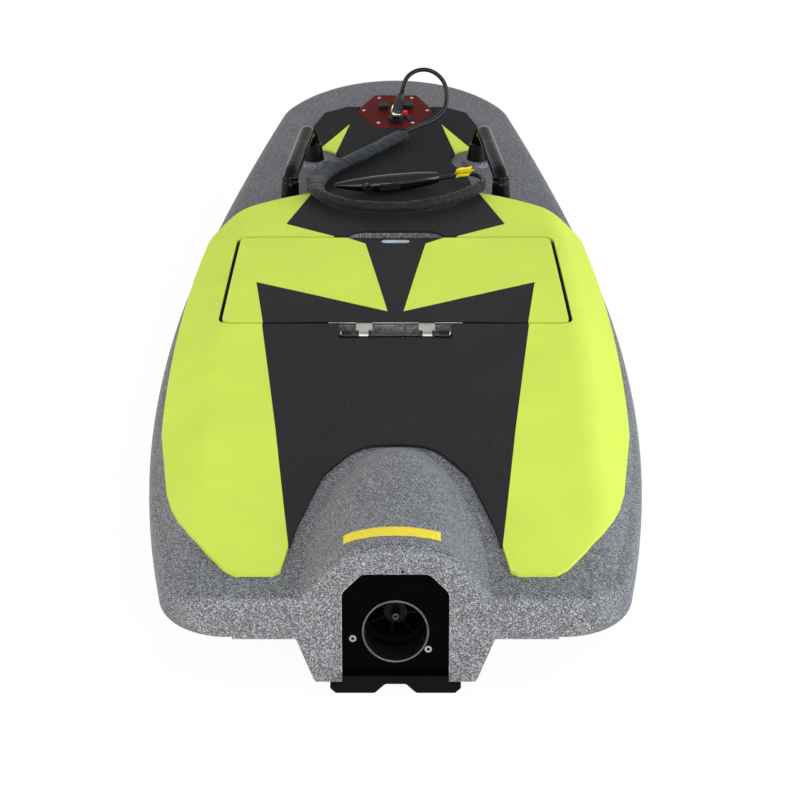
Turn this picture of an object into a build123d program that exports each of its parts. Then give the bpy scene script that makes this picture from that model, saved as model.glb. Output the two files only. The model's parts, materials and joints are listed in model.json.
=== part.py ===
from build123d import *
import os
from math import atan2, cos, degrees, radians, sin, sqrt, tan

# Electric jet surfboard. Millimetres, +Z up, +Y to the bow, +X to the right-hand rail.
# The floor is z = 0, and the origin is the middle of the board's box on the floor.
# A station is measured forward from the foot of the raked transom.

# Overall
length = 1816.0            # ride plate lip to nose tip
beam = 688.0
lip_overhang = 6.0         # ride plate lip behind the foot of the transom
transom_rake = 6.0         # degrees, the top leans forward
widest_station = 600.0
stern_half = 286.0
stern_corner = 92.0
nose_radius = 225.0
nose_half = 197.0          # half-width where the nose arc meets the side arcs
nose_shoulder = 90.0

# Low board: its wings, rails and foredeck
wing_bottom = 70.0
mid_bottom = 55.0
bow_bottom = 150.0
rocker_start = 880.0
wing_top = 126.0
rail_top = 111.0
rail_top_station = 300.0
rail_sweep = 3500.0
foredeck_start = 1000.0
foredeck_z = 121.0
nose_top = 194.0
rail_radius = 18.0
transom_round = 14.0        # of the rim above the wings' ends
rim_z = 121.0               # the rim is rounded above this height

# Raised deck: an island on the low board with sloping shoulders and a curved front ridge
ridge_station = 1312.0
ridge_radius = 380.0
ridge_corner = 105.0
ridge_draft = 14.0
ridge_round = 16.0
shoulder_slope = 34.0
shoulder_round = 60.0
deck_margin = 7.0          # low board left showing outside the island's foot

# Pump bay and its plate
bay_half = 67.0
bay_top = 157.0
bay_chamfer = 25.0
bay_corner_round = 14.0
bay_depth = 230.0
intake_bay_top = 128.0
intake_bay_end = 520.0
jet_z = 79.0
clearance = 0.3
running = 0.08             # between a turning piece and its pin or bore
travel_gap = 5.0           # between a moving piece and what it passes
plate_thick = 4.0
plate_setback = 5.0
plate_screw_radius = 4.5
plate_screw_height = 3.0
plate_screw_spots = ((-53.5, 70.0), (41.0, 55.5))   # X, height

# Jet unit
nozzle_outer = 42.0
nozzle_inner = 39.5
nozzle_proud = 3.0         # behind the face of the plate
nozzle_sleeve = 24.0       # ahead of the plate, up to the duct
duct_wall = 8.0
duct_inner = 40.5
duct_end = 505.0
intake_angle = 28.0
intake_station = 236.0
stator_station = 60.0
stator_depth = 42.0
stator_vanes = 7
hub_radius = 15.0
hub_bolt_ring = 6.0
hub_bolt_reach = 12.0
stator_ring = 3.0
impeller_station = 150.0
impeller_depth = 44.0
blade_swell = 0.4          # a twisted blade bulges this far past its radius
impeller_radius = duct_inner - travel_gap - blade_swell
impeller_blades = 4
shaft_radius = 7.0
motor_station = 560.0
motor_size = (120.0, 150.0, 104.0)
motor_floor = jet_z - motor_size[2] / 2
cavity_gap = 3.0

# Ride plate and intake grate
ride_half = 82.0
ride_end = 330.0
ride_thick = 12.0
ride_arch_half = 26.0
ride_arch_rise = 13.0
ride_curl = 7.0
grate_bar = 5.0
grate_bars = 5
grate_pitch = 14.0
grate_depth = 14.0

# Hatch and battery bay
lid_front = 1059.0
lid_rear = 749.0
lid_front_half = 242.0
lid_rear_half = 256.0
lid_corner = 12.0
lid_gap = 6.0
lid_underside = 150.0
ledge_z = 139.0
ledge = 30.0
bay_floor = 76.0
well_floor = 30.0
well_size = (286.0, 231.0)
seal_width = 8.0
seal_height = 6.0
battery_size = (270.0, 215.0, 104.0)

# Hinge
hinge_station = 716.0
hinge_z = 169.0
barrel_radius = 6.5
pin_radius = 3.0
recess_half = 83.0
recess_rear = 697.0
recess_floor = 146.0
bracket_half = (64.0, 79.0)
barrel_half = (34.0, 58.0)
leaf_half = 99.0
leaf_width = 9.0
leaf_thick = 5.0
bracket_radius = 8.0

# Finger recess and latch
finger_half = 77.0
finger_front = 1090.0
finger_depth = 16.0
latch_half = 16.0
latch_radius = 6.0
latch_station = 1043.0
latch_sink = 3.0

# Foam deck pads
pad = 5.0
pad_inset = 16.0
ridge_front_inset = 30.0

# Handles
handle_front = (140.0, 1490.0)
handle_rear = (174.0, 1302.0)
handle_rise = 56.0
handle_radius = 12.5
grip_radius = 15.0
handle_bend = 26.0
grip_share = (0.42, 0.86)
foot_base_radius = 18.0
foot_height = 34.0
foot_disc_radius = 27.0
foot_disc_height = 7.0

# Bow plate
plate_station = 1673.0
bow_plate_outline = ((69.0, 0.0), (37.0, 62.0), (-37.0, 62.0), (-69.0, 0.0), (-34.0, -62.0), (34.0, -62.0))
bow_plate_thick = 6.0
bow_plate_sink = 2.0
plate_margin = 1.0
bow_plate_round = 9.0
bow_screw_spots = ((56.0, 2.0), (29.0, 49.0), (-29.0, 49.0), (-56.0, 2.0), (-30.0, -44.0), (30.0, -44.0))
socket_spot = (1.0, -36.0)
socket_radius = 13.0
socket_height = 8.0
cap_spots = ((-21.0, 12.0), (22.0, 14.0))
cap_size = 17.0
cap_height = 9.0
button_spot = (17.0, -12.0)
button_radius = 4.5
button_height = 7.0
strap_run = ((19.0, -17.0), (27.5, -36.0))
strap_width = 9.0
strap_thick = 2.5

# Cord set
cord_radius = 3.75
plug_radius = 8.0
plug_seat = 2.6
sleeve_radius = 9.5

rake = tan(radians(transom_rake))
y_foot = lip_overhang - length / 2


def at(station):
    """Y of a station."""
    return station + y_foot


def across(station):
    """Upright plane across the board, its own y pointing up."""
    return Plane((0, at(station), 0), x_dir=(1, 0, 0), z_dir=(0, -1, 0))


transom = Plane((0, at(0), 0), x_dir=(1, 0, 0),
                z_dir=(0, -cos(radians(transom_rake)), sin(radians(transom_rake))))


def wing_z(station):
    """Underside of the wings and of the bow."""
    if station < rocker_start:
        return wing_bottom + (mid_bottom - wing_bottom) * station / rocker_start
    run = nose_tip - rocker_start
    return mid_bottom + (bow_bottom - mid_bottom) * ((station - rocker_start) / run) ** 2


nose_tip = length - lip_overhang

# Deck of the island: station, deck height, half-width of the flat part
deck_table = (
    (-60.0, 120.5, 258.0),
    (260.0, 141.0, 269.0),
    (560.0, 160.5, 271.0),
    (860.0, 175.0, 267.0),
    (1110.0, 178.5, 255.0),
    (1380.0, 178.5, 240.0),
)


def deck_z(station):
    """Height of the raised deck, by straight steps between the table's rows."""
    rows = deck_table
    for (s0, z0, _), (s1, z1, _) in zip(rows, rows[1:]):
        if station <= s1:
            break
    return z0 + (z1 - z0) * (station - s0) / (s1 - s0)


foredeck_lift = nose_top - foredeck_z
foredeck_radius = ((nose_tip - foredeck_start) ** 2 + foredeck_lift ** 2) / (2 * foredeck_lift)


def foredeck_height(station):
    """Height of the foredeck, an arc that leaves the level at foredeck_start."""
    run = station - foredeck_start
    return foredeck_z + foredeck_radius - sqrt(foredeck_radius ** 2 - run ** 2)


# Plan outline: stern line, two side arcs level with the keel line at the widest station, nose arc
nose_meet = nose_tip - nose_radius + sqrt(nose_radius ** 2 - nose_half ** 2)

with BuildSketch() as outline:
    with BuildLine():
        widest = (beam / 2, at(widest_station))
        stern_point = (stern_half, at(0))
        nose_point = (nose_half, at(nose_meet))
        aft_side = TangentArc(widest, stern_point, tangent=(0, -1))
        fore_side = TangentArc(widest, nose_point, tangent=(0, 1))
        mirror(aft_side, about=Plane.YZ)
        mirror(fore_side, about=Plane.YZ)
        Line((-stern_half, at(0)), (stern_half, at(0)))
        ThreePointArc((-nose_half, at(nose_meet)), (0, at(nose_tip)), nose_point)
    make_face()
    fillet(outline.vertices().group_by(Axis.Y)[0], stern_corner)
    fillet(outline.vertices().group_by(Axis.Y)[-1], nose_shoulder)

with BuildSketch(Plane.YZ) as low_profile:
    with BuildLine():
        far = at(nose_tip) + 20
        near = at(-60)
        top_points = ((near, wing_top), (at(rail_top_station), rail_top), (at(foredeck_start), foredeck_z))
        FilletPolyline(*top_points, radius=rail_sweep)
        bow_run = TangentArc(top_points[-1], (far, foredeck_height(nose_tip + 20)), tangent=(1, 0))
        bottom_start = (at(rocker_start), mid_bottom)
        rocker = TangentArc(bottom_start, (far, wing_z(nose_tip + 20)), tangent=(1, 0))
        Line(bottom_start, (near, wing_z(-60)))
        Line((near, wing_z(-60)), (near, wing_top))
        Line(bow_run @ 1, rocker @ 1)
    make_face()

with BuildPart() as low_board:
    add(outline.sketch)
    extrude(amount=250)
    with BuildSketch(Plane.YZ) as side:
        add(low_profile.sketch_local)
    extrude(amount=beam, both=True, mode=Mode.INTERSECT)
    rails = low_board.edges().filter_by(lambda e: abs(e.tangent_at(0.5).Z) < 0.4 and e.length > 20)
    fillet(rails.filter_by(lambda e: abs((e @ 0.5).X) > 1 or (e @ 0.5).Y > 0), rail_radius)


with BuildSketch() as island_outline:
    add(outline.sketch)
    offset(amount=-deck_margin, mode=Mode.REPLACE)
    with Locations((0, -2 * deck_margin)):
        add(island_outline.sketch, mode=Mode.REPLACE)
    with BuildSketch(mode=Mode.INTERSECT):
        with Locations((0, at(ridge_station) - ridge_radius)):
            Circle(ridge_radius)
            Rectangle(beam, length, align=(Align.CENTER, Align.MAX))
    fillet(island_outline.vertices().sort_by(Axis.Y)[-2:], ridge_corner)


def deck_section(station, height, crease):
    """Cross-section of the island: flat deck, rounded crease, straight shoulder."""
    reach = 140.0
    drop = reach * tan(radians(shoulder_slope))
    foot = 20.0
    with BuildSketch(across(station)) as section:
        with BuildLine():
            FilletPolyline((-crease - reach, foot), (-crease - reach, height - drop), (-crease, height),
                           (crease, height), (crease + reach, height - drop), (crease + reach, foot),
                           radius=(0, 0, shoulder_round, shoulder_round, 0, 0), close=True)
        make_face()
    return section.sketch


with BuildPart() as deck_form:
    for row in deck_table:
        add(deck_section(*row))
    loft()

with BuildPart() as island:
    with BuildSketch(Plane.XY.offset(wing_bottom + 20)):
        add(island_outline.sketch)
    extrude(amount=140, taper=ridge_draft)
    add(deck_form.part, mode=Mode.INTERSECT)
    crown = island.edges().filter_by(lambda e: (e @ 0.5).Z > wing_bottom + 25 and abs((e % 0.5).Z) < 0.5)
    walls = island.faces().filter_by(lambda f: 0.02 < f.normal_at().Z < 0.5)
    top_edges = crown.filter_by(lambda e: sum(e in face.edges() for face in walls) == 1)
    fillet(top_edges, ridge_round)


def bridge_section(station, foot_half, foot_z, crest_half, crest_z, back_z, foot_round, crest_round):
    """Cross-section of a pod: level feet, concave roots, straight flanks, round shoulders."""
    reach = foot_half + 70.0
    with BuildSketch(across(station)) as section:
        with BuildLine():
            FilletPolyline((-reach, back_z), (-reach, foot_z), (-foot_half, foot_z), (-crest_half, crest_z),
                           (crest_half, crest_z), (foot_half, foot_z), (reach, foot_z), (reach, back_z),
                           radius=(0, 0, foot_round, crest_round, crest_round, foot_round, 0, 0), close=True)
        make_face()
    return section.sketch


# Stern hump over the pump: station, half-width where the flanks meet the feet, how far the feet run
# under the deck, half-width of the crowned crest, height of its middle
hump_table = (
    (-40.0, 128.0, 6.0, 60.0, 190.0),
    (130.0, 121.0, 6.0, 56.0, 188.5),
    (240.0, 103.0, 7.0, 49.0, 184.0),
    (330.0, 74.0, 8.0, 39.0, 171.0),
    (385.0, 48.0, 14.0, 25.0, 150.0),
    (415.0, 34.0, 30.0, 16.0, 131.0),
)
hump_core_z = 70.0
hump_root = 38.0
hump_shoulder = 45.0
hump_crown = 12.0          # degrees, slope of the crest beside its rounded middle
hump_crown_share = 0.66    # of the crest's half-width, rounded


def hump_section(station, foot_half, foot_sink, crest_half, crest_z):
    """Cross-section of the hump: level feet, concave roots, flanks, round shoulders, crowned crest."""
    slope = radians(hump_crown)
    crown_radius = hump_crown_share * crest_half / tan(slope)
    ridge_z = crest_z + crown_radius * (1 / cos(slope) - 1)
    shoulder_z = ridge_z - crest_half * tan(slope)
    foot_z = deck_z(station) - foot_sink
    reach = foot_half + 70.0
    with BuildSketch(across(station)) as section:
        with BuildLine():
            FilletPolyline((-reach, hump_core_z), (-reach, foot_z), (-foot_half, foot_z),
                           (-crest_half, shoulder_z), (0, ridge_z), (crest_half, shoulder_z),
                           (foot_half, foot_z), (reach, foot_z), (reach, hump_core_z),
                           radius=(0, 0, hump_root, hump_shoulder, crown_radius,
                                   hump_shoulder, hump_root, 0, 0),
                           close=True)
        make_face()
    return section.sketch


with BuildPart() as hump:
    for row in hump_table:
        add(hump_section(*row))
    loft()

# Pod and belly: station, half-width at the wings and how far in the feet run, half-width and height of
# the flat underside
pod_table = (
    (-40.0, 127.0, 2.0, 97.0, 10.0),
    (400.0, 150.0, 2.0, 104.0, 8.0),
    (900.0, 205.0, 2.0, 118.0, -0.8),
    (1250.0, 190.0, 2.0, 100.0, 22.0),
    (1470.0, 140.0, 6.0, 66.0, 72.0),
    (1600.0, 100.0, 22.0, 40.0, 116.0),
)
pod_core = 25.0
pod_root = 14.0
pod_round = 16.0
with BuildPart() as pod:
    for station, foot_half, foot_sink, flat_half, flat_z in pod_table:
        foot_z = wing_z(station) + foot_sink
        core_z = foot_z + pod_core
        add(bridge_section(station, foot_half, foot_z, flat_half, flat_z, core_z, pod_root, pod_round))
    loft()


def prism(sketch, low, high):
    """Upright prism over a plan sketch, apart from any part under way."""
    return extrude(Plane.XY.offset(low) * sketch, amount=high - low, mode=Mode.PRIVATE)


def lid_outline(grow):
    """Plan of the lid, grown by a gap or shrunk by a ledge."""
    corners = ((lid_rear_half, at(lid_rear)), (lid_front_half, at(lid_front)),
               (-lid_front_half, at(lid_front)), (-lid_rear_half, at(lid_rear)))
    with BuildSketch() as plan:
        with BuildLine():
            Polyline(*corners, close=True)
        make_face()
        offset(amount=grow, kind=Kind.INTERSECTION)
        fillet(plan.vertices(), lid_corner + max(grow, 0))
    return plan.sketch


# Plane of the bow plate, level with the foredeck below the plate's middle
plate_tilt = degrees(atan2(plate_station - foredeck_start, foredeck_radius))
bow_seat = Plane((0, at(plate_station), foredeck_height(plate_station)), x_dir=(1, 0, 0),
                 z_dir=(0, -sin(radians(plate_tilt)), cos(radians(plate_tilt))))


def bow_plate_sketch(grow):
    with BuildSketch(bow_seat) as plate:
        with BuildLine():
            Polyline(*bow_plate_outline, close=True)
        make_face()
        fillet(plate.vertices(), bow_plate_round)
        if grow:
            offset(amount=grow)
    return plate.sketch


handle_spots = [(side * spot[0], spot[1]) for side in (-1, 1) for spot in (handle_front, handle_rear)]

with BuildPart() as board:
    add(low_board.part)
    add(island.part)
    add(hump.part)
    add(pod.part)
    split(bisect_by=transom, keep=Keep.BOTTOM)
    split(bisect_by=Plane.XY, keep=Keep.TOP)
    rim = board.faces().filter_by(lambda f: f.normal_at().Y < -0.9).sort_by(SortBy.AREA)[-1].edges()
    fillet(rim.filter_by(lambda e: (e @ 0.5).Z > rim_z), transom_round)
    # Discs under the handle feet
    for x, station in handle_spots:
        z = foredeck_height(station)
        with BuildSketch(Plane.XY.offset(z - 20)):
            with Locations((x, at(station))):
                Circle(foot_disc_radius)
        extrude(amount=20 + foot_disc_height, taper=4)

with BuildPart() as hull:
    add(board.part)
    # Pump bay, open at the transom and below
    with BuildSketch(across(-30)):
        with BuildLine():
            FilletPolyline((-bay_half, -5), (-bay_half, bay_top - bay_chamfer),
                           (-bay_half + bay_chamfer, bay_top), (bay_half - bay_chamfer, bay_top),
                           (bay_half, bay_top - bay_chamfer), (bay_half, -5),
                           radius=(0, *[bay_corner_round] * 4, 0),
                           close=True)
        make_face()
    extrude(amount=-(bay_depth + 30), mode=Mode.SUBTRACT)
    with BuildSketch(across(0)):
        with Locations((0, intake_bay_top)):
            Rectangle(2 * bay_half, intake_bay_top + 5, align=(Align.CENTER, Align.MAX))
    extrude(amount=-intake_bay_end, mode=Mode.SUBTRACT)
    # Seat of the ride plate
    with BuildSketch(across(-30)):
        Rectangle(2 * (ride_half + 30), 2 * ride_thick)
    extrude(amount=-(ride_end + 30 + clearance), mode=Mode.SUBTRACT)
    # Motor space and shaft tunnel
    with BuildSketch(across(intake_bay_end - 5)):
        with Locations((0, jet_z)):
            Circle(shaft_radius + 6)
    extrude(amount=-(motor_station - intake_bay_end + 10), mode=Mode.SUBTRACT)
    with BuildSketch(Plane.XY.offset(motor_floor)):
        with Locations((0, at(motor_station) + motor_size[1] / 2)):
            Rectangle(motor_size[0] + 2 * cavity_gap, motor_size[1] + 2 * cavity_gap)
    extrude(amount=motor_size[2] + cavity_gap, mode=Mode.SUBTRACT)
    # Hatch opening, ledge and battery bay
    add(prism(lid_outline(lid_gap), ledge_z, 260), mode=Mode.SUBTRACT)
    add(prism(lid_outline(-ledge), bay_floor, 260), mode=Mode.SUBTRACT)
    with BuildSketch(Plane.XY.offset(well_floor)):
        with Locations((0, at((lid_rear + lid_front) / 2))):
            Rectangle(*well_size)
    extrude(amount=bay_floor, mode=Mode.SUBTRACT)
    # Hinge recess behind the lid and finger recess ahead of it
    with BuildSketch(Plane.XY.offset(recess_floor)):
        with Locations((0, at(recess_rear))):
            Rectangle(2 * recess_half, lid_rear - recess_rear, align=(Align.CENTER, Align.MIN))
    extrude(amount=80, mode=Mode.SUBTRACT)
    with BuildSketch(Plane.XY.offset(deck_z(lid_front) - finger_depth)):
        with Locations((0, at(lid_front))):
            SlotOverall(2 * finger_half, 2 * (finger_front - lid_front))
    extrude(amount=80, mode=Mode.SUBTRACT)
    # Seat of the bow plate
    with BuildSketch(bow_seat.offset(-bow_plate_sink)):
        add(Plane.XY * bow_seat.to_local_coords(bow_plate_sketch(clearance)))
    extrude(amount=40, mode=Mode.SUBTRACT)


# Jet unit
with BuildPart() as transom_plate:
    with BuildSketch(across(-30)):
        with BuildLine():
            half = bay_half - clearance
            top = bay_top - clearance
            bend = bay_chamfer
            FilletPolyline((-half, ride_thick + ride_arch_rise), (-half, top - bend), (-half + bend, top),
                           (half - bend, top), (half, top - bend), (half, ride_thick + ride_arch_rise),
                           radius=(0, *[bay_corner_round] * 4, 0),
                           close=True)
        make_face()
    extrude(amount=-120)
    split(bisect_by=transom.offset(-plate_setback), keep=Keep.BOTTOM)
    split(bisect_by=transom.offset(-plate_setback - plate_thick), keep=Keep.TOP)
    with BuildSketch(across(-30)):
        with Locations((0, jet_z)):
            Circle(nozzle_outer + clearance)
    extrude(amount=-120, mode=Mode.SUBTRACT)

plate_face = transom.offset(-plate_setback)
with BuildPart() as plate_screws:
    with BuildSketch(plate_face):
        for x, height in plate_screw_spots:
            with Locations((x, height / cos(radians(transom_rake)))):
                Circle(plate_screw_radius)
                RegularPolygon(plate_screw_radius / 2, 6, mode=Mode.SUBTRACT)
    extrude(amount=plate_screw_height)

duct_start = jet_z * rake + plate_setback + plate_thick + nozzle_sleeve
with BuildPart() as pump_duct:
    with BuildSketch(across(duct_start)):
        with Locations((0, jet_z)):
            Circle(duct_inner + duct_wall)
    extrude(amount=duct_start - bay_depth)
    with BuildSketch(across(bay_depth)):
        with Locations((0, ride_thick + ride_arch_rise)):
            Rectangle(2 * (bay_half - clearance), intake_bay_top - ride_thick - ride_arch_rise - clearance,
                      align=(Align.CENTER, Align.MIN))
    extrude(amount=bay_depth - duct_end)
    with BuildSketch(across(ride_end + 2 * clearance)):
        with Locations((0, 2)):
            Rectangle(2 * (bay_half - clearance), 60, align=(Align.CENTER, Align.MIN))
    extrude(amount=ride_end + 2 * clearance - duct_end)
    with BuildSketch(across(duct_start)):
        with Locations((0, jet_z)):
            Circle(duct_inner)
    extrude(amount=duct_start - intake_station, mode=Mode.SUBTRACT)
    tilt = radians(intake_angle)
    mouth = Plane((0, at(intake_station), jet_z), x_dir=(1, 0, 0), z_dir=(0, cos(tilt), -sin(tilt)))
    with BuildSketch(mouth):
        Circle(duct_inner)
    extrude(amount=400, mode=Mode.SUBTRACT)
    with BuildSketch(across(intake_station)):
        with Locations((0, jet_z)):
            Circle(shaft_radius + running)
    extrude(amount=-400, mode=Mode.SUBTRACT)

with BuildPart() as nozzle:
    with BuildSketch(across(-30)):
        with Locations((0, jet_z)):
            Circle(nozzle_outer)
            Circle(nozzle_inner, mode=Mode.SUBTRACT)
    extrude(amount=-30 - duct_start)
    split(bisect_by=transom.offset(nozzle_proud - plate_setback), keep=Keep.BOTTOM)

# Turn and thickness of a blade along its depth: share of the depth, degrees, thickness
stator_vane_table = ((0.0, 0.0, 1.6), (0.5, -9.0, 2.8), (1.0, -26.0, 2.2))
impeller_blade_table = ((0.0, 0.0, 2.0), (0.33, 24.0, 3.2), (0.66, 46.0, 3.2), (1.0, 62.0, 2.0))
blade_root = 3.0           # how far a blade runs into its hub


def blades(station, depth, outer, count, table):
    """Blades round the jet's axis, each lofted through radial sections that turn as they run forward."""
    inner = hub_radius - blade_root
    with BuildPart() as blade:
        for share, turn, thick in table:
            with BuildSketch(across(station + depth * share)):
                with Locations(Location((0, jet_z), turn)):
                    with Locations(((inner + outer) / 2, 0)):
                        Rectangle(outer - inner, thick)
        loft()
    axis = Axis((0, 0, jet_z), (0, 1, 0))
    return [blade.part.rotate(axis, 360 / count * k) for k in range(count)]


with BuildPart() as stator:
    with BuildSketch(across(stator_station)):
        with Locations((0, jet_z)):
            Circle(duct_inner)
            Circle(duct_inner - stator_ring, mode=Mode.SUBTRACT)
            Circle(hub_radius)
    extrude(amount=-stator_depth)
    add(blades(stator_station, stator_depth, duct_inner - stator_ring / 2, stator_vanes, stator_vane_table))
    with BuildSketch(across(stator_station + stator_depth)):
        with Locations((0, jet_z)):
            Circle(hub_bolt_ring)
    extrude(amount=stator_depth + hub_bolt_reach)

with BuildPart() as impeller:
    with BuildSketch(across(impeller_station)):
        with Locations((0, jet_z)):
            Circle(hub_radius)
    extrude(amount=-impeller_depth)
    add(blades(impeller_station, impeller_depth, impeller_radius, impeller_blades, impeller_blade_table))
    with BuildSketch(across(impeller_station - 5)):
        with Locations((0, jet_z)):
            Circle(shaft_radius)
    extrude(amount=-impeller_depth - 10, mode=Mode.SUBTRACT)

with BuildPart() as drive_shaft:
    with BuildSketch(across(impeller_station)):
        with Locations((0, jet_z)):
            Circle(shaft_radius)
    extrude(amount=impeller_station - motor_station + travel_gap)

with BuildPart() as motor:
    with BuildSketch(Plane.XY.offset(motor_floor)):
        with Locations((0, at(motor_station) + motor_size[1] / 2)):
            Rectangle(motor_size[0], motor_size[1])
    extrude(amount=motor_size[2])

with BuildPart() as intake_grate:
    with BuildSketch(Plane.XY.offset(2)):
        with Locations((0, at((ride_end + duct_end) / 2))):
            with GridLocations(grate_pitch, 0, grate_bars, 1):
                Rectangle(grate_bar, duct_end - ride_end - 10)
    extrude(amount=grate_depth)
    add(pump_duct.part, mode=Mode.SUBTRACT)

with BuildPart() as ride_plate:
    with BuildSketch(across(-lip_overhang)):
        with BuildLine():
            FilletPolyline((-ride_half, ride_curl), (-ride_half + ride_curl, 0), (-ride_arch_half, 0),
                           (-ride_arch_half / 2, ride_arch_rise), (ride_arch_half / 2, ride_arch_rise),
                           (ride_arch_half, 0), (ride_half - ride_curl, 0), (ride_half, ride_curl),
                           (ride_half, ride_thick), (bay_half - clearance, ride_thick),
                           (bay_half - clearance, ride_thick + ride_arch_rise - clearance),
                           (-bay_half + clearance, ride_thick + ride_arch_rise - clearance),
                           (-bay_half + clearance, ride_thick), (-ride_half, ride_thick),
                           radius=(3, 3, 6, 6, 6, 6, 3, 3, 0, 0, 0, 0, 0, 0), close=True)
        make_face()
    extrude(amount=-lip_overhang - ride_end)

# Lid with its latch and hinge leaf
with BuildPart() as latch:
    with BuildSketch(Plane.XY.offset(deck_z(latch_station) - latch_sink)):
        with Locations((0, at(latch_station))):
            SlotCenterToCenter(2 * latch_half, 2 * latch_radius)
    extrude(amount=latch_sink + pad + 1)

with BuildPart() as lid:
    add(prism(lid_outline(0), lid_underside, 240))
    add(deck_form.part, mode=Mode.INTERSECT)
    add(latch.part, mode=Mode.SUBTRACT)

with BuildPart() as lid_seal:
    add(prism(lid_outline(-ledge / 2), ledge_z, ledge_z + seal_height))
    add(prism(lid_outline(-ledge / 2 - seal_width), ledge_z - 5, ledge_z + seal_height + 5),
        mode=Mode.SUBTRACT)

with BuildPart() as battery:
    with BuildSketch(Plane.XY.offset(well_floor)):
        with Locations((0, at((lid_rear + lid_front) / 2))):
            Rectangle(battery_size[0], battery_size[1])
    extrude(amount=battery_size[2])

pivot = (at(hinge_station), hinge_z)
leaf_low = deck_z(lid_rear)
with BuildPart() as hinge_leaf:
    with BuildSketch(Plane.XY.offset(leaf_low)):
        with Locations((0, at(lid_rear))):
            Rectangle(2 * leaf_half, leaf_width, align=(Align.CENTER, Align.MIN))
        for side in (-1, 1):
            with Locations((side * sum(barrel_half) / 2, at(lid_rear) + 1)):
                Rectangle(barrel_half[1] - barrel_half[0], lid_rear - hinge_station + 1,
                          align=(Align.CENTER, Align.MAX))
    extrude(amount=leaf_thick)
    for side in (-1, 1):
        with BuildSketch(Plane.YZ.offset(side * sum(barrel_half) / 2)):
            with Locations(pivot):
                Circle(barrel_radius)
        extrude(amount=(barrel_half[1] - barrel_half[0]) / 2, both=True)
    with BuildSketch(Plane.YZ):
        with Locations(pivot):
            Circle(pin_radius + running)
    extrude(amount=leaf_half, both=True, mode=Mode.SUBTRACT)
    add(lid.part, mode=Mode.SUBTRACT)

with BuildPart() as hinge_brackets:
    for side in (-1, 1):
        with BuildSketch(Plane.YZ.offset(side * sum(bracket_half) / 2)):
            with Locations(pivot):
                Circle(bracket_radius)
            with Locations((pivot[0], recess_floor)):
                Rectangle(2 * bracket_radius, hinge_z - recess_floor, align=(Align.CENTER, Align.MIN))
            with Locations(pivot):
                Circle(pin_radius, mode=Mode.SUBTRACT)
        extrude(amount=(bracket_half[1] - bracket_half[0]) / 2, both=True)

with BuildPart() as hinge_pin:
    with BuildSketch(Plane.YZ):
        with Locations(pivot):
            Circle(pin_radius)
    extrude(amount=bracket_half[1], both=True)


# Foam pads. Corners of their plan shapes for the right half: half-width, station
def plan_shape(*corners, both_sides=True):
    """Filled plan shape from corners on the right half, with its mirror image."""
    with BuildSketch() as shape:
        with BuildLine():
            Polyline(*[(x, at(station)) for x, station in corners], close=True)
        make_face()
        if both_sides:
            mirror(about=Plane.YZ)
    return shape.sketch


lid_black_corners = ((0, 1059), (76, 1059), (47, 1035), (12, 785), (211, 888), (195, 745), (0, 745))
rear_black_corners = ((0, 748), (197, 748), (165, 431), (146, 223), (137, 128), (0, 128))
front_black_corners = ((0, 1059), (76, 1059), (95, 1064), (174, 1117), (134, 1262), (128, 1300), (0, 1300))
lime_limit = ((0, 1320), (360, 1320), (360, 540), (326, 480), (313, 367), (306, 305), (296, 253), (283, 208),
              (267, 166), (242, 117), (217, 75), (202, 62), (154, 62), (145, 70), (137, 128), (0, 128))
hump_limit = ((139, 100), (127, 178), (97, 306), (48, 387))
hump_limit_round = 60.0
strip_corners = ((0, 1240), (164, 1240), (109, 1482), (122, 1490), (127, 1539), (146, 1540), (143, 1617),
                 (125, 1666), (86, 1688), (0, 1688))
fore_lime_corners = ((80, 1625), (127, 1539), (122, 1490), (109, 1482))
foot_clear = 45.0


def deck_area(side_inset, front_inset):
    """Top of the island in plan, held in from the rails and from the ridge."""
    with BuildSketch() as area:
        add(outline.sketch)
        offset(amount=-side_inset, mode=Mode.REPLACE)
        with BuildSketch(mode=Mode.INTERSECT):
            with Locations((0, at(ridge_station) - ridge_radius)):
                Circle(ridge_radius - front_inset)
                Rectangle(beam, length, align=(Align.CENTER, Align.MAX))
        fillet(area.vertices().sort_by(Axis.Y)[-2:], ridge_corner - front_inset)
    return area.sketch


with BuildSketch() as hump_area:
    with BuildLine():
        right = [(x, at(station)) for x, station in hump_limit]
        left = [(-x, y) for x, y in reversed(right)]
        inner = len(right) + len(left) - 2
        FilletPolyline(*right, *left, radius=(0, *[hump_limit_round] * inner, 0), close=True)
    make_face()
hump_plan = hump_area.sketch

with BuildPart() as deck_foam:
    add(prism(deck_area(pad_inset, ridge_front_inset), 90, 260))
    with Locations((0, 0, pad)):
        add(deck_form.part, mode=Mode.INTERSECT)
    add(board.part, mode=Mode.SUBTRACT)
    add(prism(hump_plan, 60, 260), mode=Mode.SUBTRACT)
    add(prism(lid_outline(lid_gap), 60, 260), mode=Mode.SUBTRACT)
    with BuildSketch(Plane.XY.offset(60)):
        with Locations((0, at(recess_rear))):
            Rectangle(2 * recess_half, lid_rear - recess_rear, align=(Align.CENTER, Align.MIN))
        with Locations((0, at(lid_front))):
            SlotOverall(2 * finger_half, 2 * (finger_front - lid_front))
    extrude(amount=200, mode=Mode.SUBTRACT)

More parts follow.
